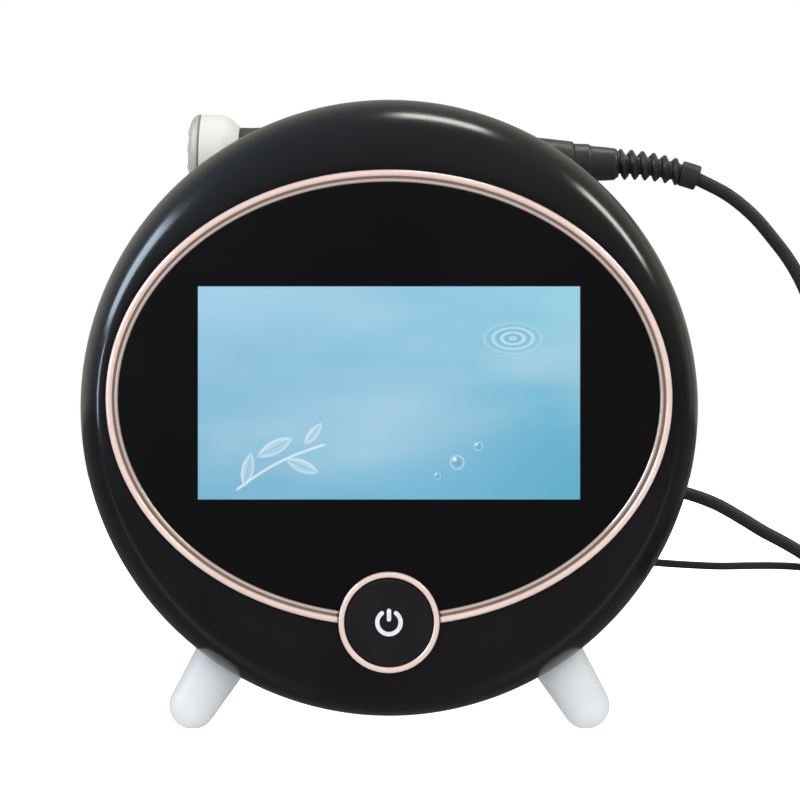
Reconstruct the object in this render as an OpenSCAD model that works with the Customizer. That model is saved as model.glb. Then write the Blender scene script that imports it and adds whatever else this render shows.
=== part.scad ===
// Desktop facial toning console: a round body on three legs with a display, a power
// button, and a corded handpiece that rests in a cradle behind the top.
// Front is -Y, up is +Z. Depths d are measured from the front of the cover glass.

/* [Body] */
// Width of the body beside the cover glass at its widest circle
body_side = 18.5; // [16:0.1:22]
// Height of the body's lowest point above the surface it stands on
body_lift = 6; // [4:0.5:10]
// Depth of the widest circle behind the glass
widest_d = 30; // [27:0.5:34]
// Depth from the widest circle to the flat back
dome_depth = 74; // [72:0.5:78]
// Radius of the flat back
back_r = 64; // [62:0.5:68]
// Wall of the front and rear shells
wall = 3; // [2.4:0.1:3.6]

/* [Front] */
// Width of the cover glass beside the display frame
glass_side = 26.5; // [24:0.1:30]
// Height of the cover glass above and below the display frame
glass_ends = 36.9; // [35:0.1:40]
// Height of the oval's centre above the body's centre
oval_up = 4; // [3:0.1:5]
// Thickness of the cover glass
glass_t = 3; // [2.4:0.1:3.4]
// Thickness of the black border film
film_t = 0.5; // [0.3:0.1:0.6]
// Width of the trim ring
trim_w = 5; // [4:0.1:6]
// How far the trim ring stands out of the glass
trim_out = 1.6; // [1:0.1:2]

/* [Display] */
// Width of the picture
view_w = 154.1; // [150:0.1:156]
// Height of the picture
view_h = 85.9; // [82:0.1:88]
// Height of the picture's centre above the body's centre
view_up = 6.1; // [5:0.1:7]
// Width of the display frame beside the picture
lcd_side = 5.45; // [4:0.05:7]
// Height of the display frame above and below the picture
lcd_ends = 7.05; // [5:0.05:8]
// Thickness of the display frame
lcd_t = 5.7; // [4.5:0.1:6.2]

/* [Button] */
// How far the button's centre lies below the lower edge of the glass
button_drop = 3.5; // [2:0.1:5]
// Outer radius of the button's bezel
bezel_r = 20.4; // [20:0.1:21]
// Radius of the hole in the bezel
bezel_hole_r = 18.1; // [17.8:0.1:18.3]
// How far the bezel stands out of the glass
bezel_out = 2; // [1.5:0.1:2.4]
// Travel of the button
button_travel = 1.2; // [0.8:0.1:1.4]
// Radius of the middle of the power symbol's arc
symbol_r = 4.7; // [4:0.1:5.5]
// Line width of the power symbol
symbol_w = 1.8; // [1.2:0.1:2]

/* [Legs] */
// Radius of a leg's round end
leg_end_r = 9.9; // [9.5:0.1:10.4]
// Radius of a leg where it enters the body
leg_top_r = 11.6; // [11.2:0.1:12]
// How far the legs' axes reach into the body
leg_seat = 10.2; // [9:0.1:12]
// Distance of each front leg's end from the middle
leg_x = 82; // [79:0.5:84]
// How far the front legs' ends stand behind the widest circle
front_leg_back = 8; // [6:0.5:13]
// How far the rear leg's end stands before the flat back
rear_leg_in = 8; // [7:0.5:11]
// Sideways splay of the front legs
leg_splay = 31.5; // [30:0.5:33]

/* [Handpiece] */
// How far the handpiece's axis lies before the flat back
hand_in = 14; // [12:0.5:16]
// Clear space between the dome and the handle above it
hand_clear = 1.5; // [1:0.1:3]
// Slope of the handpiece's axis
hand_tilt = 1.9; // [0.5:0.1:2.5]
// Radius of the handle where it rests
handle_r = 11.5; // [11:0.1:12]
// Radius of the handle's neck at the head
neck_r = 10.5; // [10:0.1:10.8]
// Radius of the white head
head_r = 15.7; // [15:0.1:16.2]
// Number of electrodes on the end plate
electrode_count = 6; // [4:1:8]

/* [Cords] */
// Diameter of the handpiece cord
hand_cord_d = 5.8; // [5.2:0.1:5.8]
// Diameter of the supply lead
lead_d = 3.4; // [3:0.1:3.4]

/* [Fits] */
// Gap between a moving piece and its guide
slide_gap = 0.3; // [0.2:0.05:0.4]
// Gap between pieces set into each other
fit_gap = 0.2; // [0.1:0.05:0.3]
// Radius of the small screws' shanks
screw_r = 1.5; // [1.3:0.1:1.6]

/* [Hidden] */

$fn = 64;
lcd_w = view_w + 2 * lcd_side;
lcd_h = view_h + 2 * lcd_ends;
glass_a = lcd_w / 2 + glass_side;
glass_b = lcd_h / 2 + glass_ends;
body_r = glass_a + body_side;
body_z = body_r + body_lift;
back_d = widest_d + dome_depth;
oval_z = body_z + oval_up;
view_z = body_z + view_up;
button_z = oval_z - glass_b - button_drop;
front_leg_d = widest_d + front_leg_back;
rear_leg_d = back_d - rear_leg_in;
hand_d = back_d - hand_in;

// Depth of the origin, halfway between the bezel's face and the sockets' face
socket_out = 4;
mid_d = (back_d + socket_out - bezel_out) / 2;

// Ovals and lofts are drawn with this many corners
oval_steps = 96;

// Layers behind the glass
glass_gap = 0.3;
film_d = glass_t;
pad_d = film_d + film_t;
flange_front = 2.3;
flange_back = 4.6;
frame_back = 7.2;
seat_step = 0.8;
lcd_back = pad_d + lcd_t;
bracket_t = 1.5;
bracket_back = lcd_back + bracket_t;
standoff_l = 7;
board_t = 1.6;
board_front = bracket_back + standoff_l;
board_back = board_front + board_t;

function circle_oval(grow) = [glass_a + grow, glass_b + grow];

// ---- helpers ----

// Places a front view drawing as a slab between two depths
module slab(d0, d1) {
  translate([0, d1 - mid_d, 0])
    rotate([90, 0, 0])
      linear_extrude(d1 - d0)
        children();
}

// Round bar along the depth, between two depths
module bar(x, z, d0, d1, r, r2 = -1) {
  translate([x, d0 - mid_d, z])
    rotate([-90, 0, 0])
      cylinder(h = d1 - d0, r1 = r, r2 = r2 < 0 ? r : r2);
}

// Outline of an oval in the front view
module oval(grow) {
  half = circle_oval(grow);
  translate([0, oval_z])
    polygon([for (i = [0 : oval_steps - 1])
      let (t = i * 360 / oval_steps) [half[0] * cos(t), half[1] * sin(t)]]);
}

// Rectangle with round corners, made of plain shapes
module soft_rect(w, h, r) {
  square([w - 2 * r, h], center = true);
  square([w, h - 2 * r], center = true);
  for (sx = [-1, 1])
    for (sy = [-1, 1])
      translate([sx * (w / 2 - r), sy * (h / 2 - r)])
        circle(r);
}

// Closed skin through equal rings of points, joined end to end or capped
module skin(rings, closed = false) {
  n = len(rings[0]);
  m = len(rings);
  last = closed ? m : m - 1;
  sides = [for (i = [0 : last - 1]) for (j = [0 : n - 1])
    let (a = i * n, b = ((i + 1) % m) * n, k = (j + 1) % n)
      for (f = [[a + j, b + j, b + k], [a + j, b + k, a + k]]) f];
  caps = closed ? [] : [[for (j = [n - 1 : -1 : 0]) (m - 1) * n + j],
    [for (j = [0 : n - 1]) j]];
  polyhedron(points = [for (r = rings) for (p = r) p], faces = concat(sides, caps),
    convexity = 10);
}

// Tube of round section swept along a route, with frames carried from ring to ring
function unit(v) = v / norm(v);
function route_dir(r, i) =
  unit(i == 0 ? r[1] - r[0] : i == len(r) - 1 ? r[i] - r[i - 1]
    : unit(r[i + 1] - r[i]) + unit(r[i] - r[i - 1]));
function carried(r, i) =
  i == 0
    ? let (t = route_dir(r, 0), s = abs(t[2]) > 0.9 ? [1, 0, 0] : [0, 0, 1])
        unit(s - (s * t) * t)
    : let (t = route_dir(r, i), s = carried(r, i - 1)) unit(s - (s * t) * t);
module tube(route, d, sides) {
  skin([for (i = [0 : len(route) - 1])
    let (t = route_dir(route, i), u = carried(route, i), v = cross(t, u))
      [for (j = [0 : sides - 1])
        let (a = -j * 360 / sides) route[i] + d / 2 * (cos(a) * u + sin(a) * v)]]);
}

// ---- shells ----

// Points of the front shell between the oval (share 0) and the widest circle (share 1)
function loft_point(t, grow, r, share, d) =
  let (half = circle_oval(grow))
    [half[0] * cos(t) * (1 - share) + r * cos(t) * share,
     d - mid_d,
     body_z + (oval_up + half[1] * sin(t)) * (1 - share) + r * sin(t) * share];

loft_steps = 10;
seat_grow = trim_w + glass_gap + fit_gap;

// Section of the front shell at one angle: flange, trim seat, dome and inside
function shell_section(t) = concat(
  [loft_point(t, glass_gap, 0, 0, flange_back),
   loft_point(t, glass_gap, 0, 0, flange_front),
   loft_point(t, seat_grow, 0, 0, flange_front),
   loft_point(t, seat_grow + 0.3, 0, 0, seat_step)],
  [for (k = [1 : loft_steps])
    let (a = k * 90 / loft_steps)
      loft_point(t, seat_grow + 0.3, body_r, sin(a),
        seat_step + (widest_d - seat_step) * (1 - cos(a)))],
  [for (k = [loft_steps : -1 : 0])
    let (a = k * 90 / loft_steps)
      loft_point(t, seat_grow + 0.3 - wall, body_r - wall, sin(a),
        flange_back + (widest_d - flange_back) * (1 - cos(a)))]);

well_r = bezel_r + 0.1;
well_wall = 1.8;
well_gap = 0.2;

module front_shell() {
  color([0.09, 0.09, 0.1])
    difference() {
      skin([for (i = [0 : oval_steps - 1]) shell_section(i * 360 / oval_steps)],
        closed = true);
      bar(0, button_z, -5, widest_d - 5, well_r + well_gap);
    }
}

// Outline of the rear dome: shares of the dome's depth and of the fall in radius
dome_shape = [[0, 0], [0.108, 0.012], [0.216, 0.047], [0.324, 0.11], [0.432, 0.2],
  [0.53, 0.292], [0.65, 0.41], [0.757, 0.545], [0.865, 0.715], [0.946, 0.865], [0.985, 0.95],
  [1, 1]];
function dome_points(inset) = [for (p = dome_shape)
  [body_r - p[1] * (body_r - back_r) - inset, widest_d + p[0] * dome_depth
    - (p[0] > 0.5 ? inset * (p[0] - 0.5) * 2 : 0)]];

lip_t = 2.2;
lip_h = 4;
lip_gap = 0.8;

// Radius and steepness of the dome at a depth
function dome_step(d) = max([for (i = [0 : len(dome_shape) - 2])
  widest_d + dome_shape[i][0] * dome_depth <= d ? i : 0]);
function dome_slope(d) = let (a = dome_shape[dome_step(d)], b = dome_shape[dome_step(d) + 1])
  (b[1] - a[1]) * (body_r - back_r) / ((b[0] - a[0]) * dome_depth);
function dome_r(d) = let (a = dome_shape[dome_step(d)])
  body_r - a[1] * (body_r - back_r) - dome_slope(d) * (d - widest_d - a[0] * dome_depth);

// The handpiece's axis lies over the dome, clear of its slope
hand_z = body_z + dome_r(hand_d)
  + (handle_r + hand_clear) * sqrt(1 + dome_slope(hand_d) * dome_slope(hand_d));

// Turns a section of (radius, depth) points about the body's axis
module turned(points) {
  translate([0, -mid_d, body_z])
    rotate([-90, 0, 0])
      rotate_extrude($fn = 128)
        polygon(points);
}

module dome_solid(inset) {
  turned(concat([[0, widest_d]], dome_points(inset), [[0, back_d - inset]]));
}

post_r = 4.5;
post_out = lcd_w / 2 + post_r + 4;
post_up = glass_b - 2 * post_r - 0.3;
post_low = glass_b - 21.3;
post_spots = [[-post_out, 34], [post_out, 34], [-post_out, -34], [post_out, -34],
  [0, post_up], [-54, -post_low], [54, -post_low]];
column_r = 6.2;
column_front = widest_d + 10;
counterbore_r = 3.6;
column_floor = column_front + 20;
screw_bite = 15;

// Frame of a leg: z runs from the end's centre up to the seat
module leg_place(x, d, splay, lean) {
  translate([x, d - mid_d, leg_z])
    rotate([0, splay, 0])
      rotate([-lean, 0, 0])
        children();
}
leg_z = leg_end_r - 0.4;
front_lean = 16;
rear_lean = -30;
leg_wall = 3;
leg_bolt_r = 2.5;
bolt_head_r = 4.5;
bolt_head_h = 3;
boss_floor = 5;
leg_boss_l = 16;
leg_hole_l = 20;
leg_straight_l = 12;

// Distance along a leg's axis at which it enters the dome
function leg_reach(x, d, splay, lean, l = 0) =
  let (side = x + l * cos(lean) * sin(splay), up = leg_z + l * cos(lean) * cos(splay))
    norm([side, up - body_z]) < dome_r(d + l * sin(lean)) ? l
      : leg_reach(x, d, splay, lean, l + 0.1);
front_leg_l = leg_reach(-leg_x, front_leg_d, leg_splay, front_lean) + leg_seat;
rear_leg_l = leg_reach(0, rear_leg_d, 0, rear_lean) + leg_seat;

module at_legs() {
  leg_place(-leg_x, front_leg_d, leg_splay, front_lean, $leg_l = front_leg_l) children();
  leg_place(leg_x, front_leg_d, -leg_splay, front_lean, $leg_l = front_leg_l) children();
  leg_place(0, rear_leg_d, 0, rear_lean, $leg_l = rear_leg_l) children();
}

// Rear board posts, loudspeaker ring, sockets
power_x = -6;
power_z = body_z + 20;
power_w = 104;
power_h = 64;
power_front = back_d - 25;
power_post_r = 3.6;
power_inset = 5;
power_spots = [for (sx = [-1, 1]) for (sz = [-1, 1])
  [power_x + sx * (power_w / 2 - power_inset), power_z + sz * (power_h / 2 - power_inset)]];
speaker_r = 14;
speaker_h = 7;
socket_r = 8;
jack_r = 5;

// Spots on the flat back: distance in from its edge and turn below the level line
function back_spot(inset, turn) =
  [(back_r - inset) * cos(turn), body_z - (back_r - inset) * sin(turn)];
speaker_x = back_spot(20.1, 133.15)[0];
speaker_z = back_spot(20.1, 133.15)[1];
socket_x = back_spot(20.27, 38.97)[0];
socket_z = back_spot(20.27, 38.97)[1];
jack_x = back_spot(13.01, 64.44)[0];
jack_z = back_spot(13.01, 64.44)[1];

// Cradle pedestal on the dome
pedestal_w = 44;
pedestal_d0 = hand_d - 6;
pedestal_d1 = hand_d + 10;
bar_t = 5;
bar_top = hand_z - handle_r - 2;
pedestal_top = bar_top - bar_t;
pedestal_floor = body_z + dome_r(pedestal_d1) - 6;
cradle_screw_d = hand_d + 2;
dome_gap = 0.4;

vent_count = 7;
vent_w = 3;
vent_l = 26;
vent_pitch = 7;

module rear_shell() {
  color([0.1, 0.1, 0.11])
    difference() {
      union() {
        turned(concat(
          [[0, back_d - wall]],
          [for (i = [len(dome_shape) - 1 : -1 : 1]) dome_points(wall)[i]],
          [[body_r - wall - lip_gap - lip_t, widest_d + 6],
           [body_r - wall - lip_gap - lip_t, widest_d - lip_h],
           [body_r - wall - lip_gap, widest_d - lip_h],
           [body_r - wall - lip_gap, widest_d]],
          dome_points(0),
          [[0, back_d]]));
        intersection() {
          dome_solid(0);
          union() {
            for (p = post_spots)
              bar(p[0], oval_z + p[1], column_front, back_d, column_r);
            for (p = power_spots)
              bar(p[0], p[1], power_front + board_t, back_d, power_post_r);
            at_legs()
              translate([0, 0, $leg_l - leg_boss_l])
                cylinder(h = leg_boss_l + boss_floor, r = leg_top_r + fit_gap + leg_wall);
            difference() {
              bar(speaker_x, speaker_z, back_d - wall - speaker_h, back_d,
                speaker_r + fit_gap + 2);
              bar(speaker_x, speaker_z, 0, back_d - wall, speaker_r + fit_gap);
            }
          }
        }
        translate([-pedestal_w / 2, pedestal_d0 - mid_d, pedestal_floor])
          cube([pedestal_w, pedestal_d1 - pedestal_d0, pedestal_top - pedestal_floor]);
      }
      for (p = post_spots) {
        bar(p[0], oval_z + p[1], column_front - 1, back_d, screw_r + fit_gap);
        bar(p[0], oval_z + p[1], column_floor, back_d + 1, counterbore_r);
      }
      for (p = power_spots)
        bar(p[0], p[1], power_front, power_front + 12, screw_r);
      at_legs() {
        cylinder(h = $leg_l, r = leg_top_r + fit_gap);
        translate([0, 0, $leg_l - 1])
          cylinder(h = boss_floor + 2, r = leg_bolt_r + fit_gap);
        translate([0, 0, $leg_l + boss_floor])
          cylinder(h = 30, r = bolt_head_r + 1);
      }
      // loudspeaker grille
      for (i = [-2 : 2])
        for (j = [-2 : 2])
          if (abs(i) + abs(j) < 4)
            bar(speaker_x + i * 4.4, speaker_z + j * 4.4, back_d - wall - 1, back_d + 1, 1.2);
      // sockets
      bar(socket_x, socket_z, back_d - wall - 1, back_d + 1, socket_r + fit_gap);
      bar(jack_x, jack_z, back_d - wall - 1, back_d + 1, jack_r + fit_gap);
      // cradle screws
      for (sx = [-1, 1])
        translate([sx * cradle_screw_x, cradle_screw_d - mid_d, pedestal_top - 12])
          cylinder(h = 13, r = screw_r);
      // vents
      for (i = [0 : vent_count - 1])
        slab(back_d - 12, back_d + 1)
          translate([(i - (vent_count - 1) / 2) * vent_pitch, body_z - vent_l / 2 + 36])
            square([vent_w, vent_l], center = true);
    }
}

// ---- front frame, glass and trim ----

panel_rib_t = 2.5;
bracket_post_r = 3.2;
button_post_r = 2.6;
post_hole_l = 18;

module front_frame() {
  color([0.2, 0.2, 0.22])
    difference() {
      union() {
        difference() {
          union() {
            slab(pad_d, flange_back) oval(0);
            slab(flange_back, frame_back) oval(seat_grow - wall - 0.2);
          }
          slab(0, 20)
            translate([0, view_z])
              square([lcd_w + 2 * fit_gap, lcd_h + 2 * fit_gap], center = true);
        }
        slab(frame_back - 1, lcd_back)
          translate([0, view_z])
            difference() {
              square([lcd_w + 2 * (fit_gap + panel_rib_t), lcd_h + 2 * (fit_gap + panel_rib_t)],
                center = true);
              square([lcd_w + 2 * fit_gap, lcd_h + 2 * fit_gap], center = true);
            }
        for (p = post_spots)
          bar(p[0], oval_z + p[1], flange_back, column_front, post_r);
        for (p = bracket_spots)
          bar(p[0], p[1], flange_back, lcd_back, bracket_post_r);
        bar(0, button_z, bezel_seat, well_floor + 2, well_r);
        for (p = button_spots)
          bar(p[0], p[1], well_floor, switch_back, button_post_r);
      }
      bar(0, button_z, -5, well_floor, well_r - well_wall);
      bar(0, button_z, well_floor - 1, well_floor + 3, stem_r + 1);
      for (p = post_spots)
        bar(p[0], oval_z + p[1], column_front - post_hole_l, column_front + 1, screw_r);
      for (p = bracket_spots)
        bar(p[0], p[1], flange_back + 0.5, lcd_back + 1, screw_r - 0.3);
      for (p = button_spots)
        bar(p[0], p[1], well_floor + 3, switch_back + 1, screw_r - 0.3);
    }
}

module cover_glass() {
  color([0.05, 0.05, 0.06])
    slab(0, glass_t)
      difference() {
        oval(0);
        translate([0, button_z])
          circle(well_r + well_gap);
      }
}

module border_film() {
  color([0.02, 0.02, 0.02])
    slab(film_d, pad_d)
      difference() {
        oval(-0.5);
        translate([0, button_z])
          circle(well_r + well_gap);
        translate([0, view_z])
          square([view_w, view_h], center = true);
      }
}

// Section of the trim ring as (growth of the oval, depth) points: outer bead,
// groove and inner bevel down to the glass
trim_section = [[glass_gap, flange_front], [glass_gap, -0.1], [0.55, -0.6],
  [1, -0.95], [1.5, -0.85], [1.85, -0.3], [2.25, -0.05], [2.6, -0.25],
  [2.85, -0.95], [3.3, -0.94 * trim_out], [3.95, -trim_out], [4.65, -0.85 * trim_out],
  [trim_w + glass_gap, -0.45], [trim_w + glass_gap, flange_front]];

module trim_ring() {
  color([0.8, 0.66, 0.64])
    difference() {
      skin([for (i = [0 : oval_steps - 1])
        [for (p = trim_section)
          loft_point(i * 360 / oval_steps, p[0], 0, 0, p[1])]], closed = true);
      bar(0, button_z, -6, widest_d, well_r + well_gap);
    }
}

// ---- display ----

module display_panel() {
  color([0.6, 0.82, 0.92])
    slab(pad_d, pad_d + 1.2)
      translate([0, view_z])
        square([view_w + 2, view_h + 2], center = true);
}

module display_frame() {
  color([0.7, 0.71, 0.72])
    difference() {
      slab(pad_d, lcd_back)
        translate([0, view_z])
          square([lcd_w, lcd_h], center = true);
      slab(pad_d - 1, pad_d + 1.2)
        translate([0, view_z])
          square([view_w + 2.2, view_h + 2.2], center = true);
    }
}

bracket_up = lcd_h / 2 + panel_rib_t + bracket_post_r + fit_gap + 1;
bracket_out = lcd_w / 2 - 20.5;
bracket_inset = 4;
ear_w = 12;
bracket_spots = [for (sx = [-1, 1]) for (sz = [-1, 1])
  [sx * bracket_out, view_z + sz * bracket_up]];
ribbon_w = 36;
board_w = lcd_w - 45;
board_h = lcd_h - 24;
standoff_spots = [for (sx = [-1, 1]) for (sz = [-1, 1])
  [sx * (board_w / 2 - 4), view_z + sz * (board_h / 2 - 4)]];

module display_bracket() {
  color([0.75, 0.76, 0.77])
    slab(lcd_back, bracket_back)
      difference() {
        union() {
          translate([0, view_z])
            square([2 * bracket_out + ear_w + bracket_inset, lcd_h - 2 * bracket_inset],
              center = true);
          for (sx = [-1, 1])
            translate([sx * bracket_out, view_z])
              square([ear_w, 2 * bracket_up + ear_w - 2], center = true);
        }
        for (p = bracket_spots)
          translate(p) circle(screw_r);
        for (p = standoff_spots)
          translate(p) circle(screw_r);
        translate([0, view_z - board_h / 2])
          square([ribbon_w + 2 * bracket_inset, ear_w], center = true);
      }
}

// Screw along the depth with its head at the back
module back_screw(x, z, head_d, length, r, head_r, head_h) {
  bar(x, z, head_d - length, head_d, r);
  difference() {
    bar(x, z, head_d, head_d + head_h, head_r);
    bar(x, z, head_d + head_h - 0.8, head_d + head_h + 1, head_r * 0.45);
  }
}

module bracket_screws() {
  color([0.6, 0.6, 0.62])
    for (p = bracket_spots)
      back_screw(p[0], p[1], bracket_back, bracket_t + 4, screw_r - 0.35, 2.6, 1.6);
}

module board_standoffs() {
  color([0.75, 0.65, 0.3])
    for (p = standoff_spots)
      difference() {
        bar(p[0], p[1], bracket_back, board_front, 2.8);
        bar(p[0], p[1], bracket_back - 1, board_front + 1, screw_r - 0.2);
      }
}

module main_board() {
  color([0.05, 0.3, 0.18])
    slab(board_front, board_back)
      difference() {
        translate([0, view_z])
          square([board_w, board_h], center = true);
        for (p = standoff_spots)
          translate(p) circle(screw_r);
      }
}

chip_h = 2.4;
// each flat chip's centre on the board, width and height
chip_plan = [[-22, 8, 20, 20], [10, 14, 14, 10], [36, 4, 10, 16]];
module main_chips() {
  color([0.12, 0.12, 0.13]) {
    slab(board_back, board_back + 1.4)
      for (c = chip_plan)
        translate([c[0], view_z + c[1]]) square([c[2], c[3]], center = true);
    slab(board_back, board_back + chip_h) {
      translate([0, view_z - board_h / 2 + 5]) square([ribbon_w + 4, 6], center = true);
      translate([0, view_z + board_h / 2 - 6]) square([22, 6], center = true);
    }
  }
}

module board_screws() {
  color([0.6, 0.6, 0.62])
    for (p = standoff_spots)
      back_screw(p[0], p[1], board_back, board_t + 5, screw_r - 0.25, 2.6, 1.6);
}

// Flat cable: a thin strip that follows points in the side view
module strip(points, width, x) {
  translate([x - width / 2, -mid_d, 0])
    rotate([90, 0, 90])
      linear_extrude(width)
        polygon(points);
}

ribbon_t = 0.4;
module display_ribbon() {
  low = view_z - board_h / 2 - 2;
  z0 = view_z - board_h / 2 + 1;
  color([0.75, 0.5, 0.2])
    strip([[lcd_back + 0.1, z0], [board_front - 3, low], [board_back + 1, low],
      [board_back + 1.6, low + 1], [board_back + 1.6, low + 3.99],
      [board_back + 1.6 - ribbon_t, low + 3.99],
      [board_back + 1.6 - ribbon_t, low + 1.3],
      [board_back + 0.8, low + ribbon_t], [board_front - 2.8, low + ribbon_t],
      [lcd_back + 0.1, z0 + ribbon_t + 0.2]],
      ribbon_w, 0);
}

// ---- button ----

bezel_seat = 2.2;
cap_front = -0.9;
cap_r = bezel_hole_r - slide_gap;
cap_flange_d0 = bezel_seat + slide_gap;
cap_flange_d1 = cap_flange_d0 + 1.7;
cap_flange_r = well_r - well_wall - fit_gap;
well_floor = cap_flange_d1 + button_travel + 3;
stem_r = 4;
stem_end = well_floor + 3.4;
switch_front = stem_end + button_travel + 0.1;
switch_back = switch_front + 5;
button_spots = [[-14, button_z], [14, button_z]];

module button_bezel() {
  color([0.8, 0.66, 0.64])
    translate([0, -mid_d, button_z])
      rotate([-90, 0, 0])
        rotate_extrude($fn = 96)
          polygon([[bezel_hole_r, bezel_seat], [bezel_hole_r, -bezel_out + 0.7],
            [bezel_hole_r + 0.25, -bezel_out + 0.25], [bezel_hole_r + 0.7, -bezel_out],
            [bezel_r - 0.9, -bezel_out], [bezel_r - 0.35, -bezel_out + 0.3],
            [bezel_r, -bezel_out + 0.9], [bezel_r, bezel_seat]]);
}

cap_edge = 1;
cap_edge_in = 0.3;
module button_cap() {
  color([0.06, 0.06, 0.07])
    translate([0, -mid_d, button_z])
      rotate([-90, 0, 0])
        rotate_extrude($fn = 96)
          polygon([[0, cap_front], [cap_r - cap_edge, cap_front],
            [cap_r - cap_edge_in, cap_front + cap_edge_in],
            [cap_r, cap_front + cap_edge], [cap_r, cap_flange_d0],
            [cap_flange_r, cap_flange_d0], [cap_flange_r, cap_flange_d1],
            [stem_r, cap_flange_d1], [stem_r, stem_end], [0, stem_end]]);
}

symbol_t = 0.12;
symbol_open = 37;
symbol_bar = [0.3 * symbol_r, symbol_r + 0.1];
// the round ends are a hair narrower than the lines they end
symbol_end_r = symbol_w / 2 - 0.03;

module power_symbol() {
  color([0.95, 0.95, 0.95])
    slab(cap_front - symbol_t, cap_front)
      translate([0, button_z]) {
        difference() {
          circle(symbol_r + symbol_w / 2);
          circle(symbol_r - symbol_w / 2);
          polygon([[0, 0], [12 * sin(-symbol_open), 12 * cos(symbol_open)],
            [12 * sin(symbol_open), 12 * cos(symbol_open)]]);
        }
        for (turn = [-symbol_open, symbol_open])
          rotate(turn) translate([0, symbol_r]) circle(symbol_end_r);
        for (up = symbol_bar)
          translate([0, up]) circle(symbol_end_r);
        translate([0, (symbol_bar[0] + symbol_bar[1]) / 2])
          square([symbol_w, symbol_bar[1] - symbol_bar[0]], center = true);
      }
}

module button_switch() {
  color([0.15, 0.15, 0.16]) {
    bar(0, button_z, switch_front, switch_front + 1.5, 3.2);
    slab(switch_front + 1.5, switch_back)
      translate([0, button_z])
        square([12, 12], center = true);
  }
}

module button_board() {
  color([0.05, 0.3, 0.18])
    slab(switch_back, switch_back + board_t)
      difference() {
        translate([0, button_z])
          square([36, 18], center = true);
        for (p = button_spots)
          translate(p) circle(screw_r);
      }
}

module button_screws() {
  color([0.6, 0.6, 0.62])
    for (p = button_spots)
      back_screw(p[0], p[1], switch_back + board_t, board_t + 4, screw_r - 0.35, 2.6, 1.6);
}

// ---- power electronics ----

module power_board() {
  color([0.05, 0.3, 0.18])
    slab(power_front, power_front + board_t)
      difference() {
        translate([power_x, power_z])
          square([power_w, power_h], center = true);
        for (p = power_spots)
          translate(p) circle(screw_r + fit_gap);
      }
}

power_screw_l = 10;
power_head_t = 1.8;
power_head_r = 2.8;
power_recess_t = 0.8;
power_recess_r = 1.2;
module power_board_screws() {
  color([0.6, 0.6, 0.62])
    for (p = power_spots) {
      bar(p[0], p[1], power_front, power_front + power_screw_l, screw_r - 0.05);
      difference() {
        bar(p[0], p[1], power_front - power_head_t, power_front, power_head_r);
        bar(p[0], p[1], power_front - power_head_t - 1,
          power_front - power_head_t + power_recess_t, power_recess_r);
      }
    }
}

coil_r = 16;
coil_hole_r = 6;
coil_t = 15;
part_up = 7;
part_out = 25;
module transformer() {
  x = power_x - part_out;
  z = power_z + part_up;
  color([0.55, 0.3, 0.12])
    difference() {
      bar(x, z, power_front - coil_t, power_front, coil_r);
      bar(x, z, power_front - coil_t - 1, power_front + 1, coil_hole_r);
    }
}

fin_count = 7;
fin_t = 1.6;
fin_pitch = 5;
fin_l = 36;
fin_h = 14;
sink_t = 4;
module heat_sink() {
  x = power_x + part_out;
  color([0.65, 0.66, 0.68]) {
    slab(power_front - sink_t, power_front)
      translate([x, power_z + part_up])
        square([(fin_count - 1) * fin_pitch + 2 * fin_t, fin_l], center = true);
    for (i = [0 : fin_count - 1])
      slab(power_front - sink_t - fin_h, power_front - sink_t)
        translate([x + (i - (fin_count - 1) / 2) * fin_pitch, power_z + part_up])
          square([fin_t, fin_l], center = true);
  }
}

can_r = 5;
can_h = 16;
can_pitch = 13;
can_down = 21;
module capacitors() {
  color([0.1, 0.12, 0.3])
    for (i = [-1 : 1])
      bar(power_x + i * can_pitch, power_z - can_down, power_front - can_h, power_front,
        can_r);
}

harness_w = 12;
harness_t = 1;
harness_in = 6;
harness_run = 8;
harness_bend = 4;
harness_dip = 2;
harness_fall = 10;
harness_end_run = 20;
wires_w = 8;
module board_harness() {
  z = view_z + board_h / 2 - harness_in;
  low = z - harness_fall;
  d0 = board_back + chip_h;
  d1 = d0 + harness_run;
  d2 = d1 + harness_bend;
  d4 = power_front - harness_end_run;
  d3 = d4 - harness_bend;
  color([0.5, 0.5, 0.52])
    strip([[d0, z - harness_t], [d1, z - harness_t], [d2, z - harness_dip - harness_t],
      [d3, low], [d4, low - harness_t], [power_front, low - harness_t],
      [power_front, low], [d4, low], [d3, low + harness_t], [d2, z - harness_dip],
      [d1, z], [d0, z]],
      harness_w, power_x);
}

wires_in = 3;
module output_wires() {
  z = socket_z;
  top = power_z - power_h / 2 + wires_in;
  color([0.6, 0.15, 0.12])
    strip([[back_d - wall - 12, z - 1], [power_front + board_t + 6, z + 1],
      [power_front + board_t + 4, z + 4], [power_front + board_t + 4, top],
      [power_front + board_t, top], [power_front + board_t, top - 1],
      [power_front + board_t + 3, top - 1], [power_front + board_t + 3, z + 3],
      [power_front + board_t + 5, z], [back_d - wall - 12, z - 2]],
      wires_w, socket_x);
}

module loudspeaker() {
  color([0.2, 0.2, 0.2]) {
    bar(speaker_x, speaker_z, back_d - wall - 3, back_d - wall, speaker_r);
    bar(speaker_x, speaker_z, back_d - wall - speaker_h, back_d - wall - 3, speaker_r * 0.6);
  }
}

// ---- legs ----

module leg(l) {
  color([0.93, 0.93, 0.92])
    difference() {
      union() {
        sphere(leg_end_r);
        cylinder(h = l - leg_straight_l, r1 = leg_end_r, r2 = leg_top_r);
        translate([0, 0, l - leg_straight_l])
          cylinder(h = leg_straight_l, r = leg_top_r);
      }
      translate([0, 0, l - leg_hole_l])
        cylinder(h = leg_hole_l + 1, r = leg_bolt_r);
    }
}

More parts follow.
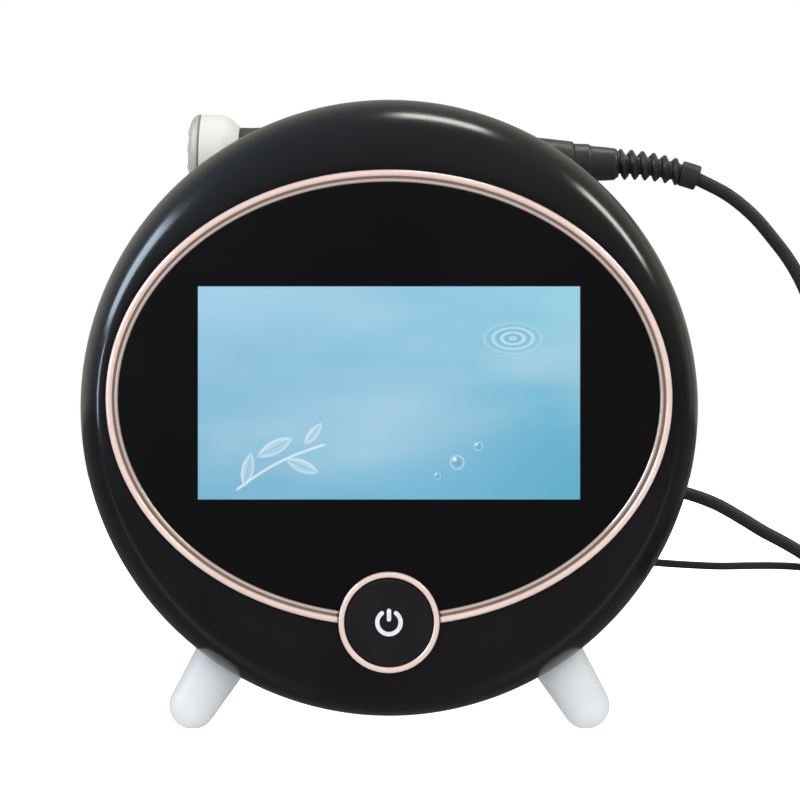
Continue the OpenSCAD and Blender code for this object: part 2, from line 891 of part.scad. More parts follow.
// Cuts the leg flat where it stands
module flat_foot() {
  difference() {
    children();
    translate([-200, -200, -20])
      cube([400, 400, 20]);
  }
}

module leg_left() {
  flat_foot() leg_place(-leg_x, front_leg_d, leg_splay, front_lean) leg(front_leg_l);
}
module leg_right() {
  flat_foot() leg_place(leg_x, front_leg_d, -leg_splay, front_lean) leg(front_leg_l);
}
module leg_rear() {
  flat_foot() leg_place(0, rear_leg_d, 0, rear_lean) leg(rear_leg_l);
}

bolt_web = 1.4;
bolt_recess_r = 2;
module leg_bolts() {
  color([0.6, 0.6, 0.62])
    at_legs() {
      translate([0, 0, $leg_l - leg_straight_l])
        cylinder(h = leg_straight_l + boss_floor, r = leg_bolt_r - 0.05);
      translate([0, 0, $leg_l + boss_floor])
        difference() {
          cylinder(h = bolt_head_h, r = bolt_head_r);
          translate([0, 0, bolt_web])
            cylinder(h = bolt_head_h, r = bolt_recess_r);
        }
    }
}

housing_head_gap = 0.6;
housing_head_t = 2.2;
module housing_screws() {
  color([0.3, 0.3, 0.31])
    for (p = post_spots)
      back_screw(p[0], oval_z + p[1], column_floor, column_floor - column_front + screw_bite,
        screw_r - 0.05, counterbore_r - housing_head_gap, housing_head_t);
}

// ---- cradle ----

cradle_screw_x = 14;
cradle_head_r = 2.8;
cradle_head_t = 1.5;
fork_x = 38;
fork_t = 9;
fork_wall = 4;
fork_rise = 3;

module cradle() {
  color([0.12, 0.12, 0.13])
    difference() {
      union() {
        translate([-fork_x - fork_t / 2, pedestal_d0 - mid_d, pedestal_top])
          cube([2 * fork_x + fork_t, pedestal_d1 - pedestal_d0, bar_t]);
        for (sx = [-1, 1])
          translate([sx * fork_x - fork_t / 2, hand_d - handle_r - fork_wall - mid_d,
            pedestal_top])
            cube([fork_t, 2 * (handle_r + fork_wall), hand_z + fork_rise - pedestal_top]);
      }
      dome_solid(-dome_gap);
      hand_place()
        translate([-70, 0, 0])
          rotate([0, 90, 0])
            cylinder(h = 140, r = handle_r + slide_gap);
      for (sx = [-1, 1])
        translate([sx * fork_x - fork_t, hand_d - handle_r - slide_gap - mid_d,
          hand_z - 1.3 * sx])
          cube([2 * fork_t, 2 * (handle_r + slide_gap), 20]);
      for (sx = [-1, 1])
        translate([sx * cradle_screw_x, cradle_screw_d - mid_d, pedestal_top - 1]) {
          cylinder(h = bar_t + 2, r = screw_r + fit_gap);
          translate([0, 0, 1 + bar_t - cradle_head_t])
            cylinder(h = cradle_head_t + 1, r = cradle_head_r + fit_gap);
        }
    }
}

module cradle_screws() {
  color([0.6, 0.6, 0.62])
    for (sx = [-1, 1])
      translate([sx * cradle_screw_x, cradle_screw_d - mid_d, 0]) {
        translate([0, 0, pedestal_top - 10])
          cylinder(h = bar_t + 10 - cradle_head_t, r = screw_r - 0.05);
        difference() {
          translate([0, 0, bar_top - cradle_head_t])
            cylinder(h = cradle_head_t, r = cradle_head_r);
          translate([0, 0, bar_top - cradle_head_t / 2])
            cylinder(h = cradle_head_t, r = 1.2);
        }
      }
}

// ---- handpiece ----

// Frame of the handpiece: x runs along its axis from the head to the cord
module hand_place() {
  translate([0, hand_d - mid_d, hand_z])
    rotate([0, hand_tilt, 0])
      children();
}

// Turns a section of (radius, station) points about the handpiece's axis
module hand_turned(points) {
  hand_place()
    rotate([0, 90, 0])
      rotate_extrude($fn = 64)
        polygon(points);
}

plate_s = -88;
ring_s = -83.3;
bell_s = -82;
neck_s = -65.5;
handle_end_s = 79.8;
cap_end_s = 99;
handle_wall = 1.8;
handle_end_r = 9.3;
neck_end_s = -60;
rest_start_s = -51;
rest_end_s = 50;
taper_s = 67;
taper_r = handle_r - 1.2;
hand_board_l = 96;

module electrode_plate() {
  color([0.62, 0.64, 0.66])
    difference() {
      hand_turned([[0, plate_s], [head_r - 5.2, plate_s], [head_r - 3, plate_s + 0.6],
        [head_r - 1.2, plate_s + 1.9], [head_r - 0.3, plate_s + 3.4], [head_r, ring_s],
        [0, ring_s]]);
      hand_place()
        for (p = electrode_spots)
          translate([plate_s - 1, p[0], p[1]])
            rotate([0, 90, 0])
              cylinder(h = 4, r = electrode_r + 0.02, $fn = 32);
    }
}

electrode_r = 2.3;
electrode_ring = 8.2;
electrode_spots = [for (i = [0 : electrode_count - 1])
  [electrode_ring * cos(i * 360 / electrode_count),
   electrode_ring * sin(i * 360 / electrode_count)]];
module electrodes() {
  color([0.9, 0.9, 0.92])
    hand_place()
      for (p = electrode_spots)
        translate([plate_s, p[0], p[1]])
          intersection() {
            translate([-0.7, 0, 0])
              rotate([0, 90, 0])
                cylinder(h = 3.7, r = electrode_r, $fn = 32);
            translate([3.4, 0, 0])
              sphere(4.1, $fn = 48);
          }
}

module head_ring() {
  color([0.15, 0.15, 0.16])
    hand_turned([[0, ring_s], [head_r - 0.35, ring_s], [head_r - 0.35, bell_s], [0, bell_s]]);
}

module head_bell() {
  color([0.94, 0.94, 0.94])
    hand_turned([[0, bell_s], [head_r - 0.2, bell_s], [head_r, bell_s + 0.4],
      [head_r, bell_s + 8.6], [head_r - 0.3, bell_s + 10.2], [head_r - 1.2, bell_s + 12],
      [head_r - 2.6, bell_s + 13.9], [neck_r + 1, bell_s + 15.8], [neck_r + 0.1, neck_s],
      [0, neck_s]]);
}

module handle() {
  color([0.08, 0.08, 0.09])
    hand_turned([[neck_r - handle_wall, neck_s], [neck_r, neck_s], [neck_r, neck_end_s],
      [handle_r, rest_start_s], [handle_r, rest_end_s], [taper_r, taper_s],
      [handle_end_r, handle_end_s], [handle_end_r - handle_wall, handle_end_s],
      [taper_r - handle_wall, taper_s - 1], [neck_r - handle_wall, rest_end_s],
      [neck_r - handle_wall, rest_start_s]]);
}

module handpiece_board() {
  color([0.05, 0.3, 0.18])
    hand_place()
      translate([neck_s, -(neck_r - handle_wall - 0.6), -board_t / 2])
        cube([hand_board_l, 2 * (neck_r - handle_wall - 0.6), board_t]);
}

module handle_cap() {
  color([0.1, 0.1, 0.11])
    hand_turned([[0, handle_end_s], [8.4, handle_end_s], [8.4, handle_end_s + 6.8],
      [7.7, handle_end_s + 7.6], [6.8, cap_end_s], [0, cap_end_s]]);
}

// Strain relief: a tapered core with ribs, drooping with the cord
relief_end_s = 134.7;
rib_s = [99.9, 105, 109.8, 114.5, 119.2, 123.8];
rib_r = [6.6, 6.5, 6.3, 6.1, 5.9, 5.7];
rib_rise = 2.2;
rib_t = 3.1;
droop_s = 103;
droop_k = 0.005;
function droop(s) = s < droop_s ? 0 : -droop_k * (s - droop_s) * (s - droop_s);
function droop_angle(s) = s < droop_s ? 0 : atan(2 * droop_k * (s - droop_s));
module on_relief(s) {
  hand_place()
    translate([s, 0, droop(s)])
      rotate([0, 90 + droop_angle(s), 0])
        children();
}

module strain_relief() {
  color([0.12, 0.12, 0.13]) {
    for (i = [0 : len(rib_s) - 1]) {
      on_relief(rib_s[i] + (i == 0 ? -rib_s[0] + cap_end_s : -rib_t / 2))
        cylinder(h = rib_t, r = rib_r[i]);
      on_relief(rib_s[i])
        cylinder(h = 6.2, r = rib_r[i] - rib_rise);
    }
    on_relief(127.2)
      cylinder(h = 7.4, r = 5.5);
  }
}

// ---- sockets and plugs ----

module hand_socket() {
  color([0.72, 0.73, 0.75])
    difference() {
      union() {
        bar(socket_x, socket_z, back_d, back_d + socket_out, socket_r + 2.4);
        bar(socket_x, socket_z, back_d - wall - 12, back_d, socket_r);
      }
      bar(socket_x, socket_z, back_d - 6, back_d + socket_out + 1, socket_r - 1.5);
    }
}

module socket_nut() {
  color([0.7, 0.7, 0.72])
    slab(back_d - wall - 3, back_d - wall)
      translate([socket_x, socket_z])
        difference() {
          circle(socket_r + 3.6, $fn = 6);
          circle(socket_r + 0.05);
        }
}

module supply_jack() {
  color([0.12, 0.12, 0.13])
    difference() {
      union() {
        bar(jack_x, jack_z, back_d, back_d + 2, jack_r + 1.6);
        bar(jack_x, jack_z, back_d - wall - 9, back_d, jack_r);
      }
      bar(jack_x, jack_z, back_d - 8, back_d + 3, jack_r - 2.2);
    }
}

module jack_nut() {
  color([0.7, 0.7, 0.72])
    slab(back_d - wall - 2.4, back_d - wall)
      translate([jack_x, jack_z])
        difference() {
          circle(jack_r + 2.4, $fn = 6);
          circle(jack_r + 0.05);
        }
}

hand_plug_end = back_d + socket_out + 24;
module hand_plug() {
  color([0.7, 0.71, 0.73]) {
    bar(socket_x, socket_z, back_d - 5, back_d + socket_out + 0.1, socket_r - 1.7);
    bar(socket_x, socket_z, back_d + socket_out + 0.1, back_d + socket_out + 15, socket_r + 1);
    bar(socket_x, socket_z, back_d + socket_out + 15, hand_plug_end, socket_r - 2, 3.6);
  }
}

supply_plug_end = back_d + 2 + 24;
module supply_plug() {
  color([0.1, 0.1, 0.11]) {
    bar(jack_x, jack_z, back_d - 7, back_d + 2.1, jack_r - 2.4);
    bar(jack_x, jack_z, back_d + 2.1, back_d + 16, jack_r + 0.2);
    bar(jack_x, jack_z, back_d + 16, supply_plug_end, 3.6, 2.2);
  }
}

// ---- cords ----

cord_gap = 0.1;
hand_coil_x = 219;
hand_coil_y = 6;
hand_coil_r = 28;
hand_coil_w = 2.1 * hand_cord_d;
hand_coil_h = 3.1 * hand_cord_d;
lead_coil_x = 210;
lead_coil_y = 68;
lead_coil_r = 17.5;
lead_coil_w = 3.1 * lead_d;

drop_route = [[147, 37, 226.5], [158, 37, 217.7], [167, 37, 207.3], [175, 37, 196.5],
  [181.5, 37, 184], [186, 37.5, 170], [188.5, 38, 155], [190, 38, 140],
  [190.5, 38, 125], [191, 38, 110], [191, 37.5, 95], [191, 37, 80], [191, 36, 65],
  [191, 34.5, 51], [191, 32, 39], [191, 28, 29.5], [191, 22.5, 23.6],
  [191, 15.5, 21.2]];
return_route = [[203.8, 40, 5.3], [199.5, 42.5, 9.2], [196, 46.5, 15.5],
  [194.5, 52, 23.5], [194.5, 58, 33], [195, 65.5, 44], [194.5, 73.5, 54.5],
  [191.5, 79.5, 63], [185.5, 82, 68], [177.5, 82, 72.7], [168.5, 82, 77.5],
  [159.5, 82, 83], [148, 82.5, 89.5], [136, 83.5, 94],
  [123, 85, 97], [109, 87.5, 99.5], [95, 91, 102], [81, 95, 104], [67, 98.5, 105.5],
  [54, 99.5, 106], [44.5, 98, 106], [37.8, 93.8, 106]];
lead_route = [[25, 89, 87.5], [31, 94.5, 86.5], [40, 97.5, 84.5], [52, 97, 80.5],
  [65, 95, 75.5], [79, 92.5, 70.5], [93, 90, 66.5], [108, 88, 64], [123, 86.5, 62.7],
  [137, 86, 61.8], [150, 86, 61.3], [163, 86, 61.5], [175, 86, 61.5], [185, 86, 61],
  [194, 86, 59.5], [203, 86.5, 55.5], [211, 87.5, 49], [218, 88, 40.5], [223, 87, 31],
  [226, 84, 22], [227.5, 79.5, 15.4], [227.5, 74, 12.6]];
tail_route = [[224.2, 88.4, 2.2], [229.8, 87.8, 3.8], [235.5, 86, 7], [240.5, 83.9, 10.6],
  [245, 83, 12], [249, 83, 12]];

module cord_colour() {
  color([0.07, 0.07, 0.08]) children();
}

// First point of the drop, on the strain relief's end face
function hand_point(s, z) =
  [s * cos(hand_tilt) + z * sin(hand_tilt), hand_d - mid_d,
   hand_z - s * sin(hand_tilt) + z * cos(hand_tilt)];
relief_face_s = 134.9;
drop_start = hand_point(relief_face_s, -5.3);

module hand_cord_drop() {
  cord_colour() tube(concat([drop_start], drop_route), hand_cord_d, 10);
}

module ring_coil(x, y, r, w, h) {
  translate([x, y, 0])
    rotate_extrude($fn = 64)
      translate([r, h / 2])
        polygon([[-w / 2 + 1, -h / 2], [w / 2 - 1, -h / 2], [w / 2, -h / 2 + 1],
          [w / 2, h / 2 - 1], [w / 2 - 1, h / 2], [-w / 2 + 1, h / 2],
          [-w / 2, h / 2 - 1], [-w / 2, -h / 2 + 1]]);
}

module hand_cord_coil() {
  cord_colour() ring_coil(hand_coil_x, hand_coil_y, hand_coil_r, hand_coil_w, hand_coil_h);
}

module hand_cord_return() {
  cord_colour()
    tube(concat(return_route, [for (s = [9, 4.5, cord_gap])
      [socket_x + (s == 9 ? 0.7 : 0), hand_plug_end - mid_d + s, socket_z]]),
      hand_cord_d, 10);
}

module supply_lead() {
  cord_colour()
    tube(concat([for (s = [cord_gap, 3.5, 7.5])
      [jack_x + (s == 7.5 ? 0.7 : 0), supply_plug_end - mid_d + s, jack_z]], lead_route),
      lead_d, 8);
}

module supply_lead_coil() {
  cord_colour() ring_coil(lead_coil_x, lead_coil_y, lead_coil_r, lead_coil_w, lead_coil_w);
}

module supply_lead_tail() {
  cord_colour() tube(tail_route, lead_d, 8);
}

adapter_x0 = 255;
adapter_y0 = 58;
adapter_l = 60;
adapter_w = 42;
adapter_h = 28;
module wall_adapter() {
  color([0.1, 0.1, 0.11]) {
    translate([adapter_x0 + adapter_l / 2, adapter_y0 + adapter_w / 2, 0])
      linear_extrude(adapter_h)
        soft_rect(adapter_l, adapter_w, 4);
    translate([249 + cord_gap, 83, 12])
      rotate([0, 90, 0])
        cylinder(h = adapter_x0 - 249 - cord_gap + 1, r1 = 2.4, r2 = 3.6);
  }
}

pin_r = 2;
module adapter_pins() {
  color([0.75, 0.75, 0.76])
    for (sx = [-1, 1])
      translate([adapter_x0 + adapter_l / 2 + sx * 9.5, adapter_y0 - 19, adapter_h / 2])
        rotate([-90, 0, 0])
          cylinder(h = 19, r = pin_r);
}

front_shell();
rear_shell();
front_frame();
trim_ring();
cover_glass();
border_film();
display_panel();
display_frame();
display_bracket();
bracket_screws();
display_ribbon();
button_bezel();
button_cap();
power_symbol();
button_switch();
button_board();
button_screws();
board_standoffs();
main_board();
main_chips();
board_screws();
power_board();
power_board_screws();
transformer();
heat_sink();
capacitors();
board_harness();
output_wires();
loudspeaker();
leg_left();
leg_right();
leg_rear();
leg_bolts();
housing_screws();
cradle();
cradle_screws();
handle();
handpiece_board();
head_bell();
head_ring();
electrode_plate();
electrodes();
handle_cap();
strain_relief();
hand_socket();
socket_nut();
supply_jack();
jack_nut();
hand_plug();
supply_plug();
hand_cord_drop();
hand_cord_coil();
hand_cord_return();
supply_lead();
supply_lead_coil();
supply_lead_tail();
wall_adapter();
adapter_pins();
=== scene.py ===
from math import atan2, ceil, cos, pi, radians, sin, sqrt

import bpy
from mathutils import Matrix, Vector


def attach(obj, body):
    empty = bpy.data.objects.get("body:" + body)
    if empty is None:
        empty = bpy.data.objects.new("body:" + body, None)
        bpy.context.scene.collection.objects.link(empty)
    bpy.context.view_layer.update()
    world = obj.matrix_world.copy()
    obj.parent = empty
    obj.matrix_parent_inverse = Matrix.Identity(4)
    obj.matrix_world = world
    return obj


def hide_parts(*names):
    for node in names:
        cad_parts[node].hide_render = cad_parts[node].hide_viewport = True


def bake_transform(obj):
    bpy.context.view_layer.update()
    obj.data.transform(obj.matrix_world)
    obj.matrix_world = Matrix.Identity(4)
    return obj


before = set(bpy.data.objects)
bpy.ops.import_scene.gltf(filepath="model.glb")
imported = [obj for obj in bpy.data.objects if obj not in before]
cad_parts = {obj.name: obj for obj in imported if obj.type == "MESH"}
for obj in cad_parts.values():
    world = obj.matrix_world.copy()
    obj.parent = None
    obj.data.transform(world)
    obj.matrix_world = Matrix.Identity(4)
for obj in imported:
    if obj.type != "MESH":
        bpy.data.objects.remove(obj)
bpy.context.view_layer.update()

mm = 0.001

# Sizes that several pieces share, in millimetres. Depths run back from the glass.
console = {
    "midDepth": 53.0,
    "bodyHeight": 133.5,
    "bodyRadius": 127.5,
    "ovalUp": 4.0,
    "glassHalf": (109.0, 86.9),
    "widestDepth": 30.0,
    "backDepth": 104.0,
    "backRadius": 64.0,
    "wall": 3.0,
    "seam": (0.3, 0.4),  # chamfer where the shells meet: inward and along the depth
    "buttonHeight": 47.1,
    "buttonWell": {"radius": 20.7, "depths": (-8, 30)},
    "cradleDepths": (84, 100),
    "socketAt": (34, 106),
    "jackAt": (22, 87.5),
    "handpieceHeight": 242.86,
    "handpieceDepth": 90.0,
    "handpieceTilt": 1.9,
}
ovalHeight = console["bodyHeight"] + console["ovalUp"]


def depthY(depth):
    return depth - console["midDepth"]


cameraView = {"place": (0.00444, -1.153, 0.13675), "lens": 122.74, "sensor": 36.0}


def placeCamera(view):
    bpy.ops.object.camera_add(location=view["place"], rotation=(pi / 2, 0, 0))
    eye = bpy.context.object
    eye.name = "camera"
    eye.data.lens = view["lens"]
    eye.data.sensor_width = view["sensor"]
    eye.data.clip_start = 0.01
    eye.data.clip_end = 50
    bpy.context.scene.camera = eye


placeCamera(cameraView)
print("camera placed")


def deselectAll():
    bpy.ops.object.select_all(action="DESELECT")


def pickOnly(piece):
    deselectAll()
    piece.select_set(True)
    bpy.context.view_layer.objects.active = piece


def editAll():
    bpy.ops.object.mode_set(mode="EDIT")
    bpy.ops.mesh.select_all(action="SELECT")


def facesOut():
    # merges doubled corners and turns every face outward
    bpy.ops.mesh.select_all(action="SELECT")
    bpy.ops.mesh.remove_doubles(threshold=1e-6)
    bpy.ops.mesh.normals_make_consistent(inside=False)


def shadeSmooth(piece, angle):
    pickOnly(piece)
    bpy.ops.object.shade_smooth_by_angle(angle=radians(angle))


def settlePiece(name, place=(0, 0, 0), turn=(0, 0, 0), smoothAngle=35):
    # leaves edit mode and moves the place and turn into the mesh
    bpy.ops.object.mode_set(mode="OBJECT")
    piece = bpy.context.object
    piece.name = piece.data.name = name
    piece.location = [v * mm for v in place]
    piece.rotation_euler = turn
    pickOnly(piece)
    bpy.ops.object.transform_apply(location=True, rotation=True, scale=True)
    shadeSmooth(piece, smoothAngle)
    return piece


def roundCorners(outline, radii, steps=4):
    # an outline with its corners rounded; radii names a corner's radius by its number
    result = []
    for i, spot in enumerate(outline):
        radius = radii.get(i, 0) if isinstance(radii, dict) else radii
        if not radius or i == 0 or i == len(outline) - 1:
            result.append(tuple(spot))
            continue
        here = Vector(spot)
        back = Vector(outline[i - 1]) - here
        ahead = Vector(outline[i + 1]) - here
        reach = min(radius, back.length * 0.48, ahead.length * 0.48)
        start = here + back.normalized() * reach
        end = here + ahead.normalized() * reach
        for k in range(steps + 1):
            t = k / steps
            result.append(tuple((1 - t) ** 2 * start + 2 * t * (1 - t) * here + t * t * end))
    return result


def spinOutline(name, outline, place=(0, 0, 0), turn=(0, 0, 0), steps=96):
    # draws an outline of (radius, along) from a single point and spins it into a round piece
    deselectAll()
    bpy.ops.mesh.primitive_plane_add(size=0.001)
    editAll()
    bpy.ops.mesh.merge(type="CENTER")
    bpy.ops.transform.translate(value=(outline[0][0] * mm, 0, outline[0][1] * mm))
    for here, ahead in zip(outline, outline[1:]):
        move = ((ahead[0] - here[0]) * mm, 0, (ahead[1] - here[1]) * mm)
        bpy.ops.mesh.extrude_region_move(TRANSFORM_OT_translate={"value": move})
    bpy.ops.mesh.select_all(action="SELECT")
    bpy.ops.mesh.spin(steps=steps, angle=2 * pi, center=(0, 0, 0), axis=(0, 0, 1))
    facesOut()
    return settlePiece(name, place, turn)


def rodOutline(radius, start, end):
    return [(0, start), (radius, start), (radius, end), (0, end)]


def loftRings(name, rings, corners=192, smoothAngle=35, capped=False):
    # oval rings of (half width, half height, centre height, depth), extruded one from another
    deselectAll()
    bpy.ops.mesh.primitive_circle_add(vertices=corners, radius=1, rotation=(pi / 2, 0, 0))
    bpy.ops.object.transform_apply(location=False, rotation=True, scale=False)
    editAll()
    w, h, z, d = rings[0]
    bpy.ops.transform.resize(value=(w * mm, 1, h * mm), center_override=(0, 0, 0))
    bpy.ops.transform.translate(value=(0, depthY(d) * mm, z * mm))
    for nextRing in rings[1:]:
        nw, nh, nz, nd = nextRing
        bpy.ops.mesh.extrude_region_move(
            TRANSFORM_OT_translate={"value": (0, (nd - d) * mm, (nz - z) * mm)})
        bpy.ops.transform.resize(value=(nw / w, 1, nh / h),
                                 center_override=(0, depthY(nd) * mm, nz * mm))
        w, h, z, d = nextRing
    if capped:
        bpy.ops.mesh.select_all(action="SELECT")
        bpy.ops.mesh.fill_holes(sides=0)
    facesOut()
    return settlePiece(name, smoothAngle=smoothAngle)


def bevelBlock(name, size, centre, edge=0, segments=3):
    # a block with its edges rounded
    deselectAll()
    bpy.ops.mesh.primitive_cube_add(size=1)
    editAll()
    bpy.ops.transform.resize(value=[v * mm for v in size], center_override=(0, 0, 0))
    if edge:
        bpy.ops.mesh.bevel(offset=edge * mm, segments=segments, affect="EDGES")
    return settlePiece(name, centre)


def joinPieces(name, pieces):
    pickOnly(pieces[0])
    for piece in pieces:
        piece.select_set(True)
    bpy.ops.object.join()
    whole = bpy.context.object
    whole.name = whole.data.name = name
    return whole


def applyModifier(piece, modifier):
    pickOnly(piece)
    bpy.ops.object.modifier_apply(modifier=modifier.name)


def shapeWith(piece, tool, operation="DIFFERENCE"):
    # cuts away or adds another shape, which then goes
    mod = piece.modifiers.new("shape", "BOOLEAN")
    mod.object = tool
    mod.operation = operation
    mod.solver = "EXACT"
    applyModifier(piece, mod)
    pickOnly(tool)
    bpy.ops.object.delete()
    return piece


def softenEdges(piece, width, angle):
    mod = piece.modifiers.new("soft", "BEVEL")
    mod.width = width * mm
    mod.segments = 2
    mod.limit_method = "ANGLE"
    mod.angle_limit = radians(angle)
    applyModifier(piece, mod)
    shadeSmooth(piece, 35)


def smoothLine(points, spacing):
    # a smooth line through route points, with even steps
    spots = [Vector(p) for p in points]
    spots = [spots[0] * 2 - spots[1]] + spots + [spots[-1] * 2 - spots[-2]]
    dense = []
    for a, b, c, d in zip(spots, spots[1:], spots[2:], spots[3:]):
        for k in range(24):
            t = k / 24
            dense.append(0.5 * (2 * b + (c - a) * t + (2 * a - 5 * b + 4 * c - d) * t * t
                                + (3 * b - a - 3 * c + d) * t ** 3))
    dense.append(spots[-2])
    reach = [0]
    for p, q in zip(dense, dense[1:]):
        reach.append(reach[-1] + (q - p).length)
    count = max(2, ceil(reach[-1] / spacing))
    line, k = [], 0
    for i in range(count + 1):
        goal = reach[-1] * i / count
        while k < len(reach) - 2 and reach[k + 1] < goal:
            k += 1
        part = (goal - reach[k]) / max(reach[k + 1] - reach[k], 1e-9)
        line.append(dense[k].lerp(dense[k + 1], min(1, part)))
    return line


def lineLength(line):
    return sum((b - a).length for a, b in zip(line, line[1:]))


def sweepTube(name, line, radii, roundness=4):
    # a round tube along a line of points in millimetres, with a radius at each
    deselectAll()
    curve = bpy.data.curves.new(name, "CURVE")
    curve.dimensions = "3D"
    curve.bevel_depth = mm
    curve.bevel_resolution = roundness
    curve.use_fill_caps = True
    strand = curve.splines.new("POLY")
    strand.points.add(len(line) - 1)
    for point, spot, radius in zip(strand.points, line, radii):
        point.co = (*[v * mm for v in spot], 1)
        point.radius = radius
    piece = bpy.data.objects.new(name, curve)
    bpy.context.scene.collection.objects.link(piece)
    pickOnly(piece)
    bpy.ops.object.convert(target="MESH")
    editAll()
    facesOut()
    return settlePiece(name, smoothAngle=50)


def alongDepth(x, z):
    # place and turn for a round piece whose axis runs back from the glass
    return {"place": (x, -console["midDepth"], z), "turn": (-pi / 2, 0, 0)}


bodyAxis = alongDepth(0, console["bodyHeight"])
buttonAxis = alongDepth(0, console["buttonHeight"])
# place and turn for a round piece on the handpiece's axis
handpieceAxis = {"place": (0, depthY(console["handpieceDepth"]), console["handpieceHeight"]),
                 "turn": (0, pi / 2 + radians(console["handpieceTilt"]), 0)}


def handpieceSpot(along, up=0.0):
    tilt = radians(console["handpieceTilt"])
    return (along * cos(tilt) + up * sin(tilt), depthY(console["handpieceDepth"]),
            console["handpieceHeight"] - along * sin(tilt) + up * cos(tilt))


handCord = {
    "diameter": 5.8, "spacing": 3.0, "roundness": 4,
    "start": (134.6, -5.3),  # along the handpiece and up
    "drop": [(147, 37, 226.5), (158, 37, 217.7), (167, 37, 207.3), (175, 37, 196.5),
             (181.5, 37, 184), (186, 37.5, 170), (188.5, 38, 155), (190, 38, 140),
             (190.5, 38, 125), (191, 38, 110), (191, 37.5, 95), (191, 37, 80),
             (191, 36, 65), (191, 34.5, 51), (191, 32, 39), (191, 28, 29.5),
             (191, 22.5, 23.6), (191, 15.5, 21.2)],
    "coilCentre": (219, 6),
    # start angle, sweep radius and height of each turn, and what the first one comes from
    "turns": [(180, 28.0, 14.7), (540, 31.0, 8.9), (840, 25.1, 8.9), (1140, 25.1, 3.0),
              (1440, 31.0, 3.0)],
    "top": (28.0, 20.9), "lastAngle": 1888, "glide": 60,
    "back": [(203.8, 40, 5.3), (199.5, 42.5, 9.2), (196, 46.5, 15.5), (194.5, 52, 23.5),
             (194.5, 58, 33), (195, 65.5, 44), (194.5, 73.5, 54.5), (191.5, 79.5, 63),
             (185.5, 82, 68), (177.5, 82, 72.7), (168.5, 82, 77.5), (159.5, 82, 83),
             (148, 82.5, 89.5), (136, 83.5, 94), (123, 85, 97), (109, 87.5, 99.5),
             (95, 91, 102), (81, 95, 104), (67, 98.5, 105.5), (54, 99.5, 106),
             (44.5, 98, 106), (37.8, 93.8, 106), (34.7, 88, 106), (34, 83.5, 106),
             (34, 79.1, 106)],
}
supplyLead = {
    "diameter": 3.4, "spacing": 2.0, "roundness": 3,
    "route": [(22, 77.1, 87.5), (22, 80.5, 87.5), (22.7, 84.5, 87.5), (25, 89, 87.5),
              (31, 94.5, 86.5), (40, 97.5, 84.5), (52, 97, 80.5), (65, 95, 75.5),
              (79, 92.5, 70.5), (93, 90, 66.5), (108, 88, 64), (123, 86.5, 62.7),
              (137, 86, 61.8), (150, 86, 61.3), (163, 86, 61.5), (175, 86, 61.5),
              (185, 86, 61), (194, 86, 59.5), (203, 86.5, 55.5), (211, 87.5, 49),
              (218, 88, 40.5), (223, 87, 31), (226, 84, 22), (227.5, 79.5, 15.4)],
    "coilCentre": (210, 68),
    "turns": [(15, 14.0, 8.7), (-335, 17.45, 8.7), (-655, 20.9, 8.7), (-975, 20.9, 5.2),
              (-1295, 17.45, 5.2), (-1615, 14.0, 5.2), (-1935, 14.0, 1.75),
              (-2255, 17.45, 1.75), (-2575, 20.9, 1.75)],
    "top": (18.3, 12.3), "lastAngle": -2800, "glide": 50,
    "tail": [(224.2, 88.4, 2.2), (229.8, 87.8, 3.8), (235.5, 86, 7), (240.5, 83.9, 10.6),
             (245, 83, 12), (249, 83, 12), (262, 83, 12), (275, 82, 12)],  # on into the adapter
}


coilStep = 15  # degrees between the coil's points


def windCoil(cord):
    # the coil's line: each turn keeps its radius and height and glides into the next
    (x, y), turns, last = cord["coilCentre"], cord["turns"], cord["lastAngle"]
    way = 1 if last > turns[0][0] else -1
    line = []
    for angle in range(turns[0][0], last, coilStep * way):
        which = max(i for i, turn in enumerate(turns) if way * turn[0] <= way * angle)
        start, radius, height = turns[which]
        oldRadius, oldHeight = turns[which - 1][1:] if which else cord["top"]
        t = min(1, abs(angle - start) / cord["glide"])
        t = t * t * (3 - 2 * t)
        r = oldRadius + (radius - oldRadius) * t
        z = oldHeight + (height - oldHeight) * t
        line.append((x + r * cos(radians(angle)), y + r * sin(radians(angle)), z))
    return line


def layCord(name, cord, route):
    line = smoothLine(route, cord["spacing"])
    return sweepTube(name, line, [cord["diameter"] / 2] * len(line), cord["roundness"]), line


cordHand, handLine = layCord("handpieceCord", handCord,
                             [handpieceSpot(*handCord["start"])] + handCord["drop"]
                             + windCoil(handCord)[1:] + handCord["back"])
cordLead, leadLine = layCord("supplyCord", supplyLead,
                             supplyLead["route"] + windCoil(supplyLead) + supplyLead["tail"])
print("cords laid", round(lineLength(handLine)), round(lineLength(leadLine)))


def cutButtonWell(piece):
    well = console["buttonWell"]
    return shapeWith(piece, spinOutline("well", rodOutline(well["radius"], *well["depths"]),
                                        **buttonAxis, steps=128))


frontShape = {
    # the edge under the trim: how far out from the glass and how deep
    "lip": [(0.3, 4.6), (0.3, 2.3), (5.5, 2.3), (5.5, 1.5), (5.58, 1.1), (5.75, 0.88)],
    # where the outer and the inner curve start, and their steps
    "outer": ((5.8, 0.8), 34), "inner": ((2.8, 4.6), 12),
}


def shellRing(grow, radius, share, depth):
    # between the oval of the glass (share 0) and the widest circle (share 1)
    a, b = console["glassHalf"]
    return ((a + grow) * (1 - share) + radius * share, (b + grow) * (1 - share) + radius * share,
            console["bodyHeight"] + console["ovalUp"] * (1 - share), depth)


def shellCurve(start, radius, steps):
    # a quarter turn from the oval out and back to the widest circle
    (grow, near), far = start, console["widestDepth"]
    turns = [pi / 2 * k / steps for k in range(steps + 1)]
    return [shellRing(grow, radius, sin(turn), near + (far - near) * (1 - cos(turn)))
            for turn in turns]


